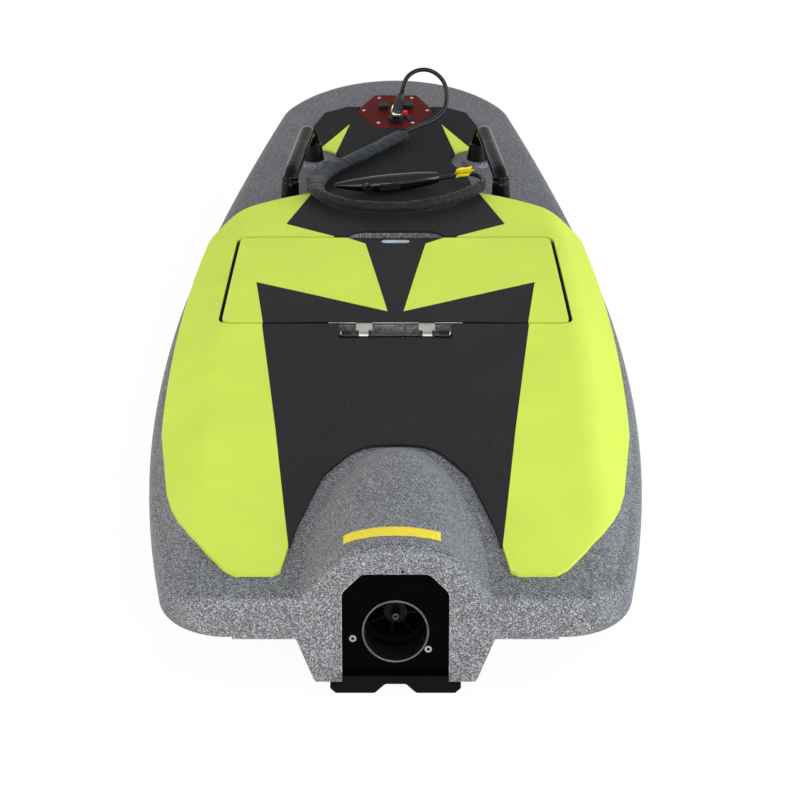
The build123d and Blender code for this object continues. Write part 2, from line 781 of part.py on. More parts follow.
with BuildPart() as fore_foam:
    with BuildSketch(Plane.YZ):
        with Locations((0, pad)):
            add(low_profile.sketch_local)
    extrude(amount=beam / 2, both=True)
    add(prism(plan_shape(*strip_corners), 60, 260), mode=Mode.INTERSECT)
    add(board.part, mode=Mode.SUBTRACT)
    for x, station in handle_spots:
        with BuildSketch(Plane.XY.offset(60)):
            with Locations((x, at(station))):
                Circle(foot_clear if station == handle_front[1] else foot_disc_radius + 2)
        extrude(amount=200, mode=Mode.SUBTRACT)
    with BuildSketch(bow_seat.offset(-20)):
        add(Plane.XY * bow_seat.to_local_coords(bow_plate_sketch(plate_margin)))
    extrude(amount=60, mode=Mode.SUBTRACT)

black_plan = plan_shape(*rear_black_corners) + plan_shape(*front_black_corners)
fore_lime_plan = plan_shape(*fore_lime_corners)

with BuildPart() as deck_pad_black:
    add(deck_foam.part)
    add(prism(black_plan, 60, 260), mode=Mode.INTERSECT)
    add(fore_foam.part)
    add(prism(fore_lime_plan, 60, 260), mode=Mode.SUBTRACT)

with BuildPart() as deck_pad_lime:
    add(deck_foam.part)
    add(prism(plan_shape(*lime_limit), 60, 260), mode=Mode.INTERSECT)
    add(prism(black_plan, 60, 260), mode=Mode.SUBTRACT)

with BuildPart() as fore_lime:
    add(fore_foam.part)
    add(prism(fore_lime_plan, 60, 260), mode=Mode.INTERSECT)

with BuildPart() as lid_foam:
    add(prism(lid_outline(0), lid_underside, 260))
    with Locations((0, 0, pad)):
        add(deck_form.part, mode=Mode.INTERSECT)
    add(prism(lid_outline(1), lid_underside - 5, lid_underside + 1), mode=Mode.SUBTRACT)
    add(deck_form.part, mode=Mode.SUBTRACT)
    add(hinge_leaf.part, mode=Mode.SUBTRACT)
    add(latch.part, mode=Mode.SUBTRACT)

with BuildPart() as lid_pad_black:
    add(lid_foam.part)
    add(prism(plan_shape(*lid_black_corners), 60, 260), mode=Mode.INTERSECT)

with BuildPart() as lid_pad_lime:
    add(lid_foam.part)
    add(prism(plan_shape(*lid_black_corners), 60, 260), mode=Mode.SUBTRACT)


# Handles
def handle_path(side):
    """Centre line of one grab handle, from the front foot over and aft to the rear foot."""
    (xf, sf), (xr, sr) = handle_front, handle_rear
    zf, zr = foredeck_height(sf) + foot_disc_height, foredeck_height(sr) + foot_disc_height
    return [(side * xf, at(sf), zf + foot_height / 2), (side * (xf + 7), at(sf + 10), zf + handle_rise),
            (side * xr, at(sr - 4), zr + handle_rise), (side * xr, at(sr), zr + foot_height / 2)]


def handle_tube(side, radius):
    points = handle_path(side)
    with BuildPart() as tube:
        with BuildLine() as path:
            FilletPolyline(*points, radius=handle_bend)
        with BuildSketch(path.line ^ 0):
            Circle(radius)
        sweep()
    return tube.part


handle_parts = {}
for name, side in (("left", -1), ("right", 1)):
    points = handle_path(side)
    grip_from, grip_to = Vector(*points[1]), Vector(*points[2])
    run = grip_to - grip_from
    with BuildPart() as bar:
        add(handle_tube(side, handle_radius))
    with BuildPart() as grip:
        with BuildSketch(Plane(grip_from + run * grip_share[0], z_dir=run)):
            Circle(grip_radius)
            Circle(handle_radius, mode=Mode.SUBTRACT)
        extrude(amount=run.length * (grip_share[1] - grip_share[0]))
    with BuildPart() as feet:
        for x, station in (handle_front, handle_rear):
            base = foredeck_height(station) + foot_disc_height
            with BuildSketch(Plane.XY.offset(base)):
                with Locations((side * x, at(station))):
                    Circle(foot_base_radius)
            extrude(amount=foot_height * 0.8, taper=9)
        add(bar.part, mode=Mode.SUBTRACT)
    handle_parts["handle_%s_bar" % name] = bar
    handle_parts["handle_%s_grip" % name] = grip
    handle_parts["handle_%s_feet" % name] = feet

# Bow plate with its socket and caps
with BuildPart() as bow_plate:
    with BuildSketch(bow_seat.offset(-bow_plate_sink)):
        add(Plane.XY * bow_seat.to_local_coords(bow_plate_sketch(0)))
    extrude(amount=bow_plate_thick)
    fillet(bow_plate.faces().sort_by(Axis.Z)[-1].edges(), 1.2)

plate_top = bow_seat.offset(bow_plate_thick - bow_plate_sink)
with BuildPart() as bow_screws:
    with BuildSketch(plate_top):
        with Locations(*bow_screw_spots):
            Circle(3.2)
    extrude(amount=1.2)

with BuildPart() as bow_socket:
    with BuildSketch(plate_top):
        with Locations(socket_spot):
            Circle(socket_radius)
    extrude(amount=socket_height, taper=6)

with BuildPart() as bow_caps:
    with BuildSketch(plate_top):
        for spot in cap_spots:
            with Locations(spot):
                RectangleRounded(cap_size, cap_size, 3)
    extrude(amount=cap_height)
    fillet(bow_caps.faces().sort_by(Axis.Z)[-2:].edges(), 1.5)

with BuildPart() as bow_button:
    with BuildSketch(plate_top):
        with Locations(button_spot):
            Circle(button_radius)
    extrude(amount=button_height)
    fillet(bow_button.faces().sort_by(Axis.Z)[-1].edges(), 1)

with BuildPart() as bow_strap:
    (x_from, y_from), (x_to, y_to) = strap_run
    with BuildSketch(plate_top):
        with Locations(Location(((x_from + x_to) / 2, (y_from + y_to) / 2),
                                degrees(atan2(y_to - y_from, x_to - x_from)))):
            SlotOverall(sqrt((x_to - x_from) ** 2 + (y_to - y_from) ** 2), strap_width)
    extrude(amount=strap_thick)

# Lead of the handset: X, station, height of each point of its route
route = (
    (11, 1638, 222), (14, 1640, 244), (34, 1649, 260), (62, 1655, 259), (86, 1651, 240),
    (91, 1640, 213), (86, 1626, 192), (66, 1607, 181), (30, 1581, 177), (-3, 1545, 173),
    (-35, 1510, 169), (-67, 1474, 165), (-97, 1446, 162), (-119, 1412, 160), (-129, 1368, 166),
    (-131, 1322, 182), (-129, 1281, 197), (-131, 1238, 198), (-118, 1202, 197), (-88, 1174, 197),
    (-50, 1158, 197), (-10, 1152, 197), (30, 1158, 197), (70, 1177, 197), (102, 1204, 197),
    (127, 1232, 196), (143, 1260, 196), (144, 1290, 196), (124, 1306, 198), (97, 1289, 199),
    (70.3, 1281.1, 198),
)
route_points = [Vector(x, at(station), z) for x, station, z in route]
sleeve_from, sleeve_to = 7, 25


def route_radii(points):
    """As large an arc at each corner as its two runs allow."""
    radii = []
    for before, here, after in zip(points, points[1:], points[2:]):
        turn = (here - before).get_angle(after - here)
        shorter = min((here - before).length, (after - here).length)
        radii.append(0.45 * shorter / tan(radians(turn / 2)))
    return radii


def along(points, radii, outer, inner=0.0):
    """Round tube along a run of the route."""
    with BuildPart() as tube:
        with BuildLine() as path:
            FilletPolyline(*points, radius=radii)
        with BuildSketch(path.line ^ 0):
            Circle(outer)
            if inner:
                Circle(inner, mode=Mode.SUBTRACT)
        sweep()
    return tube.part, sum(edge.length for edge in path.edges())


radii = route_radii(route_points)
cord_solid, cord_length = along(route_points, radii, cord_radius)
sleeve_ends = [route_points[sleeve_from] + (route_points[sleeve_from + 1] - route_points[sleeve_from]) * 0.5,
               route_points[sleeve_to] + (route_points[sleeve_to - 1] - route_points[sleeve_to]) * 0.5]
sleeve_points = [sleeve_ends[0], *route_points[sleeve_from + 1:sleeve_to], sleeve_ends[1]]
sleeve_solid, sleeve_length = along(sleeve_points, radii[sleeve_from:sleeve_to - 1], sleeve_radius,
                                    cord_radius + clearance)
print("cord length", round(cord_length), "sleeve", round(sleeve_length))
print("radii", [round(radius) for radius in radii])

with BuildPart() as cord:
    add(cord_solid)
with BuildPart() as cord_sleeve:
    add(sleeve_solid)

plug_top = route_points[0]
plug_foot = plate_top.offset(socket_height + plug_seat).from_local_coords(Vector(*socket_spot))
plug_axis = plug_top - plug_foot
with BuildPart() as plug:
    with BuildSketch(Plane(plug_foot, z_dir=plug_axis)):
        Circle(plug_radius)
    extrude(amount=plug_axis.length)

# Tag on the lead, folded round it near the handset
tag_collar = 10.0
tag_flag = (30.0, 13.0, 1.2)
tag_from, tag_to = route_points[28], route_points[29]
tag_axis = tag_to - tag_from
with BuildPart() as tag:
    for long, grow, wide in ((tag_collar, tag_flag[2], 0), (tag_flag[0], 0, tag_flag[1])):
        with BuildSketch(Plane((tag_from + tag_to) * 0.5, x_dir=(0, 0, 1), z_dir=tag_axis)):
            if grow:
                Circle(cord_radius + clearance + grow)
                Circle(cord_radius + clearance, mode=Mode.SUBTRACT)
            if wide:
                with Locations((cord_radius + clearance, 0)):
                    Rectangle(wide, tag_flag[2], align=(Align.MIN, Align.CENTER))
        extrude(amount=long / 2, both=True)

# Handset: share of its length from the tip, half-height, half-width, sideways shift of its middle
handset_table = (
    (0.0, 3.5, 3.5, 6.0),
    (0.12, 7.5, 8.5, 4.0),
    (0.32, 12.5, 13.5, 1.0),
    (0.62, 14.0, 15.5, 0.0),
    (0.86, 12.0, 13.0, 1.0),
    (1.0, 8.5, 9.0, 2.5),
)
handset_tip = Vector(-97, at(1240), 197)
handset_end = Vector(70, at(1281), 198)
handset_run = handset_end - handset_tip
knob_share = 0.29
knob_radius = 8.5
knob_reach = 19.0
trigger_share = 0.5
trigger_size = (34.0, 9.0)
trigger_reach = 20.0


def handset_plane(share):
    """Plane across the handset, its own x pointing up and y aft."""
    return Plane(handset_tip + handset_run * share, x_dir=(0, 0, 1), z_dir=handset_run)


with BuildPart() as handset_body:
    for share, half_height, half_width, shift in handset_table:
        with BuildSketch(handset_plane(share)):
            with Locations((shift / 3, -shift)):
                Ellipse(half_height, half_width)
    loft()

aft = handset_plane(0).y_dir
if aft.Y > 0:
    aft = -aft
with BuildPart() as handset_knob:
    with BuildSketch(Plane(handset_plane(knob_share).origin, z_dir=aft)):
        Circle(knob_radius)
    extrude(amount=knob_reach)
    fillet(handset_knob.faces().sort_by(Axis.Y)[0].edges(), 2)
    add(handset_body.part, mode=Mode.SUBTRACT)

with BuildPart() as handset_trigger:
    with BuildSketch(Plane(handset_plane(trigger_share).origin, x_dir=handset_run, z_dir=aft)):
        RectangleRounded(*trigger_size, 3)
    extrude(amount=trigger_reach)
    add(handset_body.part, mode=Mode.SUBTRACT)

pieces = {
    "hull": hull, "transom_plate": transom_plate, "plate_screws": plate_screws, "pump_duct": pump_duct,
    "nozzle": nozzle,
    "stator": stator, "impeller": impeller, "drive_shaft": drive_shaft, "motor": motor,
    "intake_grate": intake_grate, "ride_plate": ride_plate, "lid": lid, "lid_seal": lid_seal,
    "battery": battery, "hinge_leaf": hinge_leaf, "hinge_brackets": hinge_brackets, "hinge_pin": hinge_pin,
    "latch": latch, "deck_pad_black": deck_pad_black, "deck_pad_lime": deck_pad_lime,
    "foredeck_pad_lime": fore_lime, "lid_pad_black": lid_pad_black, "lid_pad_lime": lid_pad_lime,
    **handle_parts, "bow_plate": bow_plate, "bow_screws": bow_screws, "bow_socket": bow_socket,
    "bow_caps": bow_caps, "bow_button": bow_button, "bow_strap": bow_strap, "cord": cord,
    "cord_sleeve": cord_sleeve, "plug": plug, "tag": tag, "handset_body": handset_body,
    "handset_knob": handset_knob, "handset_trigger": handset_trigger,
}
os.makedirs("parts", exist_ok=True)
for name, piece in pieces.items():
    piece.part.label = name
    export_step(piece.part, "parts/" + name + ".step")
    print(name, len(piece.solids()), round(piece.part.volume), piece.part.is_valid)
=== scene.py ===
"""Looks of the electric jet surfboard, built round its packed parts."""

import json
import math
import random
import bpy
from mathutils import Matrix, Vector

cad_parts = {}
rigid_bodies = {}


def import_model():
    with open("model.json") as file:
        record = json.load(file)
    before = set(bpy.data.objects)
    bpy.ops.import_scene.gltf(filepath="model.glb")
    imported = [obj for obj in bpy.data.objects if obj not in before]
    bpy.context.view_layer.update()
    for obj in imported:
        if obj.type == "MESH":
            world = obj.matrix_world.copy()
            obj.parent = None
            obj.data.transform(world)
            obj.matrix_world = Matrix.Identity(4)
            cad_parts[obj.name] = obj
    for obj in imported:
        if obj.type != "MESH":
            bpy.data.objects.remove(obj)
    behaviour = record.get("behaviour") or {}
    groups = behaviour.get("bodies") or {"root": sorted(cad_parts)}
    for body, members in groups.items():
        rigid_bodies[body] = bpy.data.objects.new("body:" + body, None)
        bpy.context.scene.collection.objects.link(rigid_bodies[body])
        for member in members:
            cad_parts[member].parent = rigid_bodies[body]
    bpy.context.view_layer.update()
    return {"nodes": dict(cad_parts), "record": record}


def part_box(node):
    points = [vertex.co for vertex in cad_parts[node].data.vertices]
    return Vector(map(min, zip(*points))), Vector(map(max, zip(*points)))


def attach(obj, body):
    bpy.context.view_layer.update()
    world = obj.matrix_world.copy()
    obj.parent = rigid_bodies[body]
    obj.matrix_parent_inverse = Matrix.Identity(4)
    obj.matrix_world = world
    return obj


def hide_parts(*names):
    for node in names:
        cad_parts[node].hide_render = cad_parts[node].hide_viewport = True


bl_info = {
    "name": "Electric Jet Surfboard",
    "version": (1, 0, 0),
    "blender": (4, 5, 0),
    "location": "3D View > Sidebar > Jetboard",
    "description": "Dresses the parts of an electric jet surfboard and sets up its studio",
    "category": "Object",
}

import bmesh
import bpy
from bpy.props import BoolProperty, FloatProperty, FloatVectorProperty, IntProperty, PointerProperty
from mathutils import Matrix, Vector, noise

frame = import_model()
NODES = frame["nodes"]

# The lead's route from the bow socket to the handset: X, station from the transom, height, in mm
LEAD_ROUTE = (
    (11, 1638, 222), (14, 1640, 244), (34, 1649, 260), (62, 1655, 259), (86, 1651, 240),
    (91, 1640, 213), (86, 1626, 192), (66, 1607, 181), (30, 1581, 177), (-3, 1545, 173),
    (-35, 1510, 169), (-67, 1474, 165), (-97, 1446, 162), (-119, 1412, 160), (-129, 1368, 166),
    (-131, 1322, 182), (-129, 1281, 197), (-131, 1238, 198), (-118, 1202, 197), (-88, 1174, 197),
    (-50, 1158, 197), (-10, 1152, 197), (30, 1158, 197), (70, 1177, 197), (102, 1204, 197),
    (127, 1232, 196), (143, 1260, 196), (144, 1290, 196), (124, 1306, 198), (97, 1289, 199),
    (70.3, 1281.1, 198),
)
STERN = -0.902             # Y of the transom's foot, in metres
CAMERA_BACK = 3.0224       # behind the transom's foot, in metres
CAMERA_HEIGHT = 1.84
CAMERA_DIP = 25.41         # degrees below the level
CAMERA_LENS = 126.0        # mm, on a sensor 36 mm wide
CAMERA_SHIFT = 0.0056      # share of the picture's width
SHARP = 35.0               # degrees between faces, from which an edge is eased


def place(x, station, height):
    """A point in the row frame, in metres, from millimetres and a station."""
    return Vector((x / 1000, STERN + station / 1000, height / 1000))


# Settings


def colour(name, description, default):
    return FloatVectorProperty(name=name, description=description, subtype="COLOR", size=3,
                               min=0.0, max=1.0, default=default)


def length(name, description, default):
    return FloatProperty(name=name, description=description, unit="LENGTH", min=0.0, default=default,
                         precision=4)


def share(name, description, default):
    return FloatProperty(name=name, description=description, subtype="FACTOR", min=0.0, max=1.0,
                         default=default)


class HullSettings(bpy.types.PropertyGroup):
    """The moulded hull and hatch lid"""

    ground: colour("Ground", "Mid tone of the speckled plastic", (0.128, 0.134, 0.143))
    dark_fleck: colour("Dark fleck", "Darkest grains in the plastic", (0.012, 0.013, 0.015))
    pale_fleck: colour("Pale fleck", "Palest grains in the plastic", (0.50, 0.51, 0.52))
    fleck_size: length("Fleck size", "Size of one grain", 0.00135)
    # transom_lift pales the aft-facing transom face: partly scuffing, partly painted light on the face turned
    # aft.
    transom_lift: share("Transom lift", "How much paler the scuffed transom face is", 0.10)


class FoamSettings(bpy.types.PropertyGroup):
    """The foam deck pads"""

    lime: colour("Lime", "Colour of the bright pads", (0.590, 0.725, 0.088))
    black: colour("Black", "Colour of the dark pads", (0.0145, 0.0145, 0.016))
    edge_round: length("Edge round", "Radius of a pad's cut edge", 0.0012)
    streaks: share("Streaks", "Depth of the lengthwise grain", 0.35)


class JetSettings(bpy.types.PropertyGroup):
    """The pump, its duct and the ride plate"""

    plate: colour("Plate", "Black of the transom plate and the ride plate", (0.0007, 0.0008, 0.0010))
    rim: colour("Rim", "Metal of the outlet ring", (0.13, 0.13, 0.14))
    vanes: colour("Vanes", "Colour of the stator and the duct", (0.0028, 0.0030, 0.0034))
    blades: colour("Blades", "Metal of the impeller", (0.32, 0.32, 0.33))


class FittingSettings(bpy.types.PropertyGroup):
    """Handles, bow plate, hinge and label"""

    handle: colour("Handle", "Gloss black of the grab handles", (0.003, 0.003, 0.0036))
    plate: colour("Bow plate", "Dark red of the bow plate", (0.105, 0.009, 0.008))
    button: colour("Button", "Red of the button", (0.62, 0.02, 0.02))
    label: colour("Label", "Yellow of the blank label and the tag", (0.80, 0.64, 0.014))
    hinge: colour("Hinge", "Grey metal of the hinge", (0.50, 0.48, 0.43))
    label_width: length("Label width", "Across the hump", 0.122)
    label_height: length("Label height", "Along the hump", 0.026)


class LeadSettings(bpy.types.PropertyGroup):
    """The coiled lead, its sleeve and plug"""

    radius: length("Lead radius", "Half the lead's thickness", 0.00375)
    sleeve_radius: length("Sleeve radius", "Half the sleeve's thickness", 0.0094)
    sleeve_first: share("Sleeve start", "Where the sleeve starts along the lead", 0.232)
    sleeve_last: share("Sleeve end", "Where the sleeve ends along the lead", 0.897)
    wrinkle: length("Wrinkle", "Depth of the sleeve's folds", 0.0016)
    band: length("Flat run", "How far the sleeve lies flat before it is gathered round", 0.350)
    sleeve: colour("Sleeve", "Slate grey of the sleeve where it lies flat", (0.022, 0.029, 0.038))
    gathered: colour("Gathered sleeve", "Black of the sleeve in the coil", (0.0075, 0.0085, 0.010))
    jacket: colour("Jacket", "Black of the lead", (0.006, 0.006, 0.007))


class StudioSettings(bpy.types.PropertyGroup):
    """Lamps, floor and world"""

    key: FloatProperty(name="Key lamp", description="Power of the main soft lamp", unit="POWER", default=50.0)
    fill: FloatProperty(name="Fill lamps", description="Power of each side lamp", unit="POWER", default=26.0)
    strip: FloatProperty(name="Strip lamps", description="Power of each narrow lamp that draws highlights",
                         unit="POWER", default=10.0)
    horizon: FloatProperty(name="Horizon", description="Strength of the light from low down", default=1.05)
    zenith: FloatProperty(name="Zenith", description="Strength of the light from overhead", default=0.52)
    shadow: share("Shadow", "How much of its shadow the white floor shows", 0.10)
    show_floor: BoolProperty(name="Floor", description="Put the board on a floor", default=True)
    lamp_count: IntProperty(name="Side lamps", description="Soft lamps at the sides", default=2, min=0, max=2)


# Node helpers


class Finish:
    """One procedural material, put together a node at a time."""

    def __init__(self, name, color, roughness=0.5, metallic=0.0, **sockets):
        self.material = bpy.data.materials.new(name)
        self.material.use_nodes = True
        self.tree = self.material.node_tree
        self.shader = self.tree.nodes["Principled BSDF"]
        self.shader.inputs["Roughness"].default_value = roughness
        self.shader.inputs["Metallic"].default_value = metallic
        self.shader.inputs["Base Color"].default_value = (*color, 1)
        self.material.diffuse_color = (*color, 1)
        for socket, value in sockets.items():
            self.shader.inputs[socket.replace("_", " ").title().replace("Ior", "IOR")].default_value = value
        self.coords = self.add("ShaderNodeTexCoord").outputs["Object"]

    def add(self, kind, **values):
        """A new node with these attributes or socket values."""
        node = self.tree.nodes.new(kind)
        for key, value in values.items():
            if hasattr(node, key):
                setattr(node, key, value)
            else:
                node.inputs[key].default_value = value
        return node

    def link(self, source, target):
        self.tree.links.new(source, target)

    def stretched(self, scale):
        """Coordinates scaled by axis, so a texture runs along one of them."""
        node = self.add("ShaderNodeMapping")
        node.inputs["Scale"].default_value = scale
        self.link(self.coords, node.inputs["Vector"])
        return node.outputs["Vector"]

    def grain(self, size, detail=2.0, roughness=0.5, vector=None):
        """Soft noise whose spots are about this size."""
        node = self.add("ShaderNodeTexNoise")
        node.inputs["Scale"].default_value = 1 / size
        node.inputs["Detail"].default_value = detail
        node.inputs["Roughness"].default_value = roughness
        self.link(vector or self.coords, node.inputs["Vector"])
        return node.outputs["Fac"]

    def cells(self, size, output="Color"):
        """Cells of about this size, by tone or by distance from their middles."""
        node = self.add("ShaderNodeTexVoronoi")
        node.inputs["Scale"].default_value = 1 / size
        self.link(self.coords, node.inputs["Vector"])
        return node.outputs[output]

    def flecks(self, size):
        """Grains of about this size, each with a tone of its own."""
        tones = self.add("ShaderNodeSeparateColor")
        self.link(self.cells(size), tones.inputs[0])
        soft = self.grain(size * 1.4, detail=1.0)
        return self.sum(self.sum(soft, 0.5, "MULTIPLY"), self.sum(tones.outputs[0], 0.5, "MULTIPLY"))

    def worn_and_lit_edges(self, radius):
        """1 on sharp edges and 0 on flat faces, broken up by wear."""
        rounded = self.add("ShaderNodeBevel", samples=4)
        rounded.inputs["Radius"].default_value = radius
        flat = self.add("ShaderNodeNewGeometry")
        likeness = self.add("ShaderNodeVectorMath", operation="DOT_PRODUCT")
        self.link(rounded.outputs[0], likeness.inputs[0])
        self.link(flat.outputs["Normal"], likeness.inputs[1])
        edge = self.span(likeness.outputs["Value"], 0.985, 0.86)
        return self.sum(edge, self.span(self.grain(0.012, detail=3.0), 0.35, 0.65), "MULTIPLY")

    def ramp(self, source, *stops):
        """Colours by value: stops of (value, colour)."""
        node = self.add("ShaderNodeValToRGB")
        elements = node.color_ramp.elements
        while len(elements) < len(stops):
            elements.new(0.5)
        for element, (value, tint) in zip(elements, stops):
            element.position = value
            element.color = (*tint, 1)
        self.link(source, node.inputs["Fac"])
        return node.outputs["Color"]

    def span(self, source, low, high, to_low=0.0, to_high=1.0):
        """A value's run from low to high, mapped to another run."""
        node = self.add("ShaderNodeMapRange")
        for socket, value in zip(("From Min", "From Max", "To Min", "To Max"), (low, high, to_low, to_high)):
            node.inputs[socket].default_value = value
        self.link(source, node.inputs["Value"])
        return node.outputs["Result"]

    def mix(self, first, second, amount, blend="MIX"):
        """One colour blended into another by an amount."""
        node = self.add("ShaderNodeMix", data_type="RGBA", blend_type=blend)
        for source, socket in ((first, node.inputs[6]), (second, node.inputs[7]), (amount, node.inputs[0])):
            if isinstance(source, bpy.types.NodeSocket):
                self.link(source, socket)
            elif isinstance(source, (int, float)):
                socket.default_value = source
            else:
                socket.default_value = (*source, 1)
        return node.outputs[2]

    def sum(self, first, second, operation="ADD"):
        """Two values added, or joined by another operation."""
        node = self.add("ShaderNodeMath", operation=operation)
        for source, socket in ((first, node.inputs[0]), (second, node.inputs[1])):
            if isinstance(source, bpy.types.NodeSocket):
                self.link(source, socket)
            else:
                socket.default_value = source
        return node.outputs[0]

    def paint(self, source):
        self.link(source, self.shader.inputs["Base Color"])

    def gloss(self, source):
        self.link(source, self.shader.inputs["Roughness"])

    def bump(self, source, depth, strength):
        node = self.add("ShaderNodeBump")
        node.inputs["Distance"].default_value = depth
        node.inputs["Strength"].default_value = strength
        self.link(source, node.inputs["Height"])
        self.link(node.outputs["Normal"], self.shader.inputs["Normal"])


def tone(color, factor):
    """A paler or darker tone of a colour."""
    return tuple(min(1.0, part * factor) for part in color)


# Finishes


def speckled_plastic(look):
    """Rotomoulded plastic with dark and pale grains; the transom face is coarser and paler, partly scuffing
    and partly painted light, its edges paler, partly wear and partly painted highlight, and the skin loses
    contrast and darkens towards the bow as painted shade.
    """
    ground = look.ground
    # Paler tones for the transom face and the stern's edges: partly scuffing and wear, partly painted light
    # and painted highlight.
    scuff_and_light_tone, edge_wear_and_highlight_tone = (0.60, 0.60, 0.59), (0.56, 0.56, 0.55)
    edge_radius = 0.0035
    fade_start, fade_end = STERN + 0.5, -STERN     # run over which the skin loses contrast and darkens towards the bow: painted shade
    pale_edge_start, pale_edge_end = STERN + 0.03, STERN + 0.08
    skin = Finish("speckled grey moulding", ground, roughness=0.55, specular_ior_level=0.4)
    fine, coarse = skin.flecks(look.fleck_size * 0.9), skin.flecks(look.fleck_size)
    smooth_side = skin.ramp(fine, (0.24, tone(ground, 0.12)), (0.40, tone(ground, 0.52)), (0.52, ground),
                            (0.64, tone(ground, 1.8)), (0.76, tone(ground, 3.2)))
    rough_side = skin.ramp(coarse, (0.26, look.dark_fleck), (0.41, tone(ground, 0.55)), (0.52, ground),
                           (0.63, tone(ground, 1.8)), (0.76, look.pale_fleck))
    broad = skin.grain(0.05, detail=2.0)
    shade = skin.ramp(broad, (0.3, (0.86, 0.86, 0.88)), (0.7, (1.0, 1.0, 1.0)))
    normal = skin.add("ShaderNodeNewGeometry").outputs["Normal"]
    split = skin.add("ShaderNodeSeparateXYZ")
    skin.link(normal, split.inputs[0])
    # Faces turned aft take coarser grains and a paler tone: partly scuffing, partly painted light.
    aft = skin.span(split.outputs["Y"], -0.55, -0.93)
    scuffed_and_lit = skin.mix(rough_side, scuff_and_light_tone, look.transom_lift)
    place_of = skin.add("ShaderNodeSeparateXYZ")
    skin.link(skin.coords, place_of.inputs[0])
    # Painted shade: towards the bow the grains fade into a darker tone.
    forward = skin.span(place_of.outputs["Y"], fade_start, fade_end, 0.0, 0.55)
    bow_shaded = skin.mix(smooth_side, tone(ground, 0.82), forward)
    shaded = skin.mix(skin.mix(bow_shaded, scuffed_and_lit, aft), shade, 0.7, "MULTIPLY")
    # Edges near the transom are paled: partly wear, partly painted highlight along the edges.
    rim = skin.span(place_of.outputs["Y"], pale_edge_end, pale_edge_start, 0.0, 0.5)
    marked = skin.sum(skin.worn_and_lit_edges(edge_radius), rim, "MULTIPLY")
    skin.paint(skin.mix(shaded, edge_wear_and_highlight_tone, marked))
    skin.gloss(skin.span(fine, 0.3, 0.7, 0.46, 0.64))
    skin.bump(skin.sum(coarse, skin.cells(look.fleck_size * 1.6, "Distance")), 0.0003, 0.5)
    return skin.material


def foam(name, color, streaks):
    """Closed-cell foam sheet, brushed along the board."""
    skin = Finish(name, color, roughness=0.8, specular_ior_level=0.16)
    brushed = skin.grain(0.0022, detail=3.0, roughness=0.65, vector=skin.stretched((1.0, 0.035, 0.4)))
    pores = skin.grain(0.0011, detail=2.0)
    patches = skin.grain(0.11, detail=3.0)
    spread = 0.5 * streaks
    tinted = skin.ramp(brushed, (0.32, tone(color, 1 - spread)), (0.68, tone(color, 1 + spread)))
    marked = skin.ramp(patches, (0.35, (0.93, 0.93, 0.93)), (0.65, (1.0, 1.0, 1.0)))
    skin.paint(skin.mix(tinted, marked, 0.8, "MULTIPLY"))
    skin.gloss(skin.span(patches, 0.3, 0.7, 0.66, 0.80))
    skin.bump(skin.sum(brushed, skin.sum(pores, 0.6, "MULTIPLY")), 0.0002, 0.15 + streaks)
    return skin.material


def moulded(name, color, roughness=0.4, grain=0.0009, depth=0.00006, **sockets):
    """Injection-moulded plastic with a fine grain and faint handling marks."""
    sockets.setdefault("specular_ior_level", 0.35)
    skin = Finish(name, color, roughness=roughness, **sockets)
    pattern = skin.grain(grain, detail=2.0)
    marks = skin.grain(0.018, detail=4.0, roughness=0.6)
    skin.paint(skin.ramp(marks, (0.35, tone(color, 0.86)), (0.65, tone(color, 1.16))))
    skin.gloss(skin.span(marks, 0.3, 0.7, max(0.03, roughness - 0.06), roughness + 0.08))
    skin.bump(pattern, depth, 0.5)
    return skin.material


def metal(name, color, roughness=0.3, brushed=(1.0, 1.0, 0.04)):
    """Machined metal with a directional grain."""
    skin = Finish(name, color, roughness=roughness, metallic=1.0)
    lines = skin.grain(0.0008, detail=3.0, vector=skin.stretched(brushed))
    stains = skin.grain(0.012, detail=3.0)
    skin.paint(skin.ramp(stains, (0.3, tone(color, 0.82)), (0.7, tone(color, 1.12))))
    skin.gloss(skin.span(lines, 0.3, 0.7, max(0.05, roughness - 0.08), roughness + 0.12))
    skin.bump(lines, 0.00003, 0.5)
    return skin.material


def anodised(name, color):
    """Dyed aluminium sheet with a soft satin face."""
    skin = Finish(name, color, roughness=0.42, specular_ior_level=0.04)
    dust = skin.grain(0.006, detail=4.0, roughness=0.7)
    skin.paint(skin.ramp(dust, (0.35, tone(color, 0.8)), (0.62, color), (0.85, tone(color, 1.5))))
    skin.gloss(skin.span(dust, 0.3, 0.7, 0.36, 0.52))
    skin.bump(skin.grain(0.0007), 0.00002, 0.4)
    return skin.material


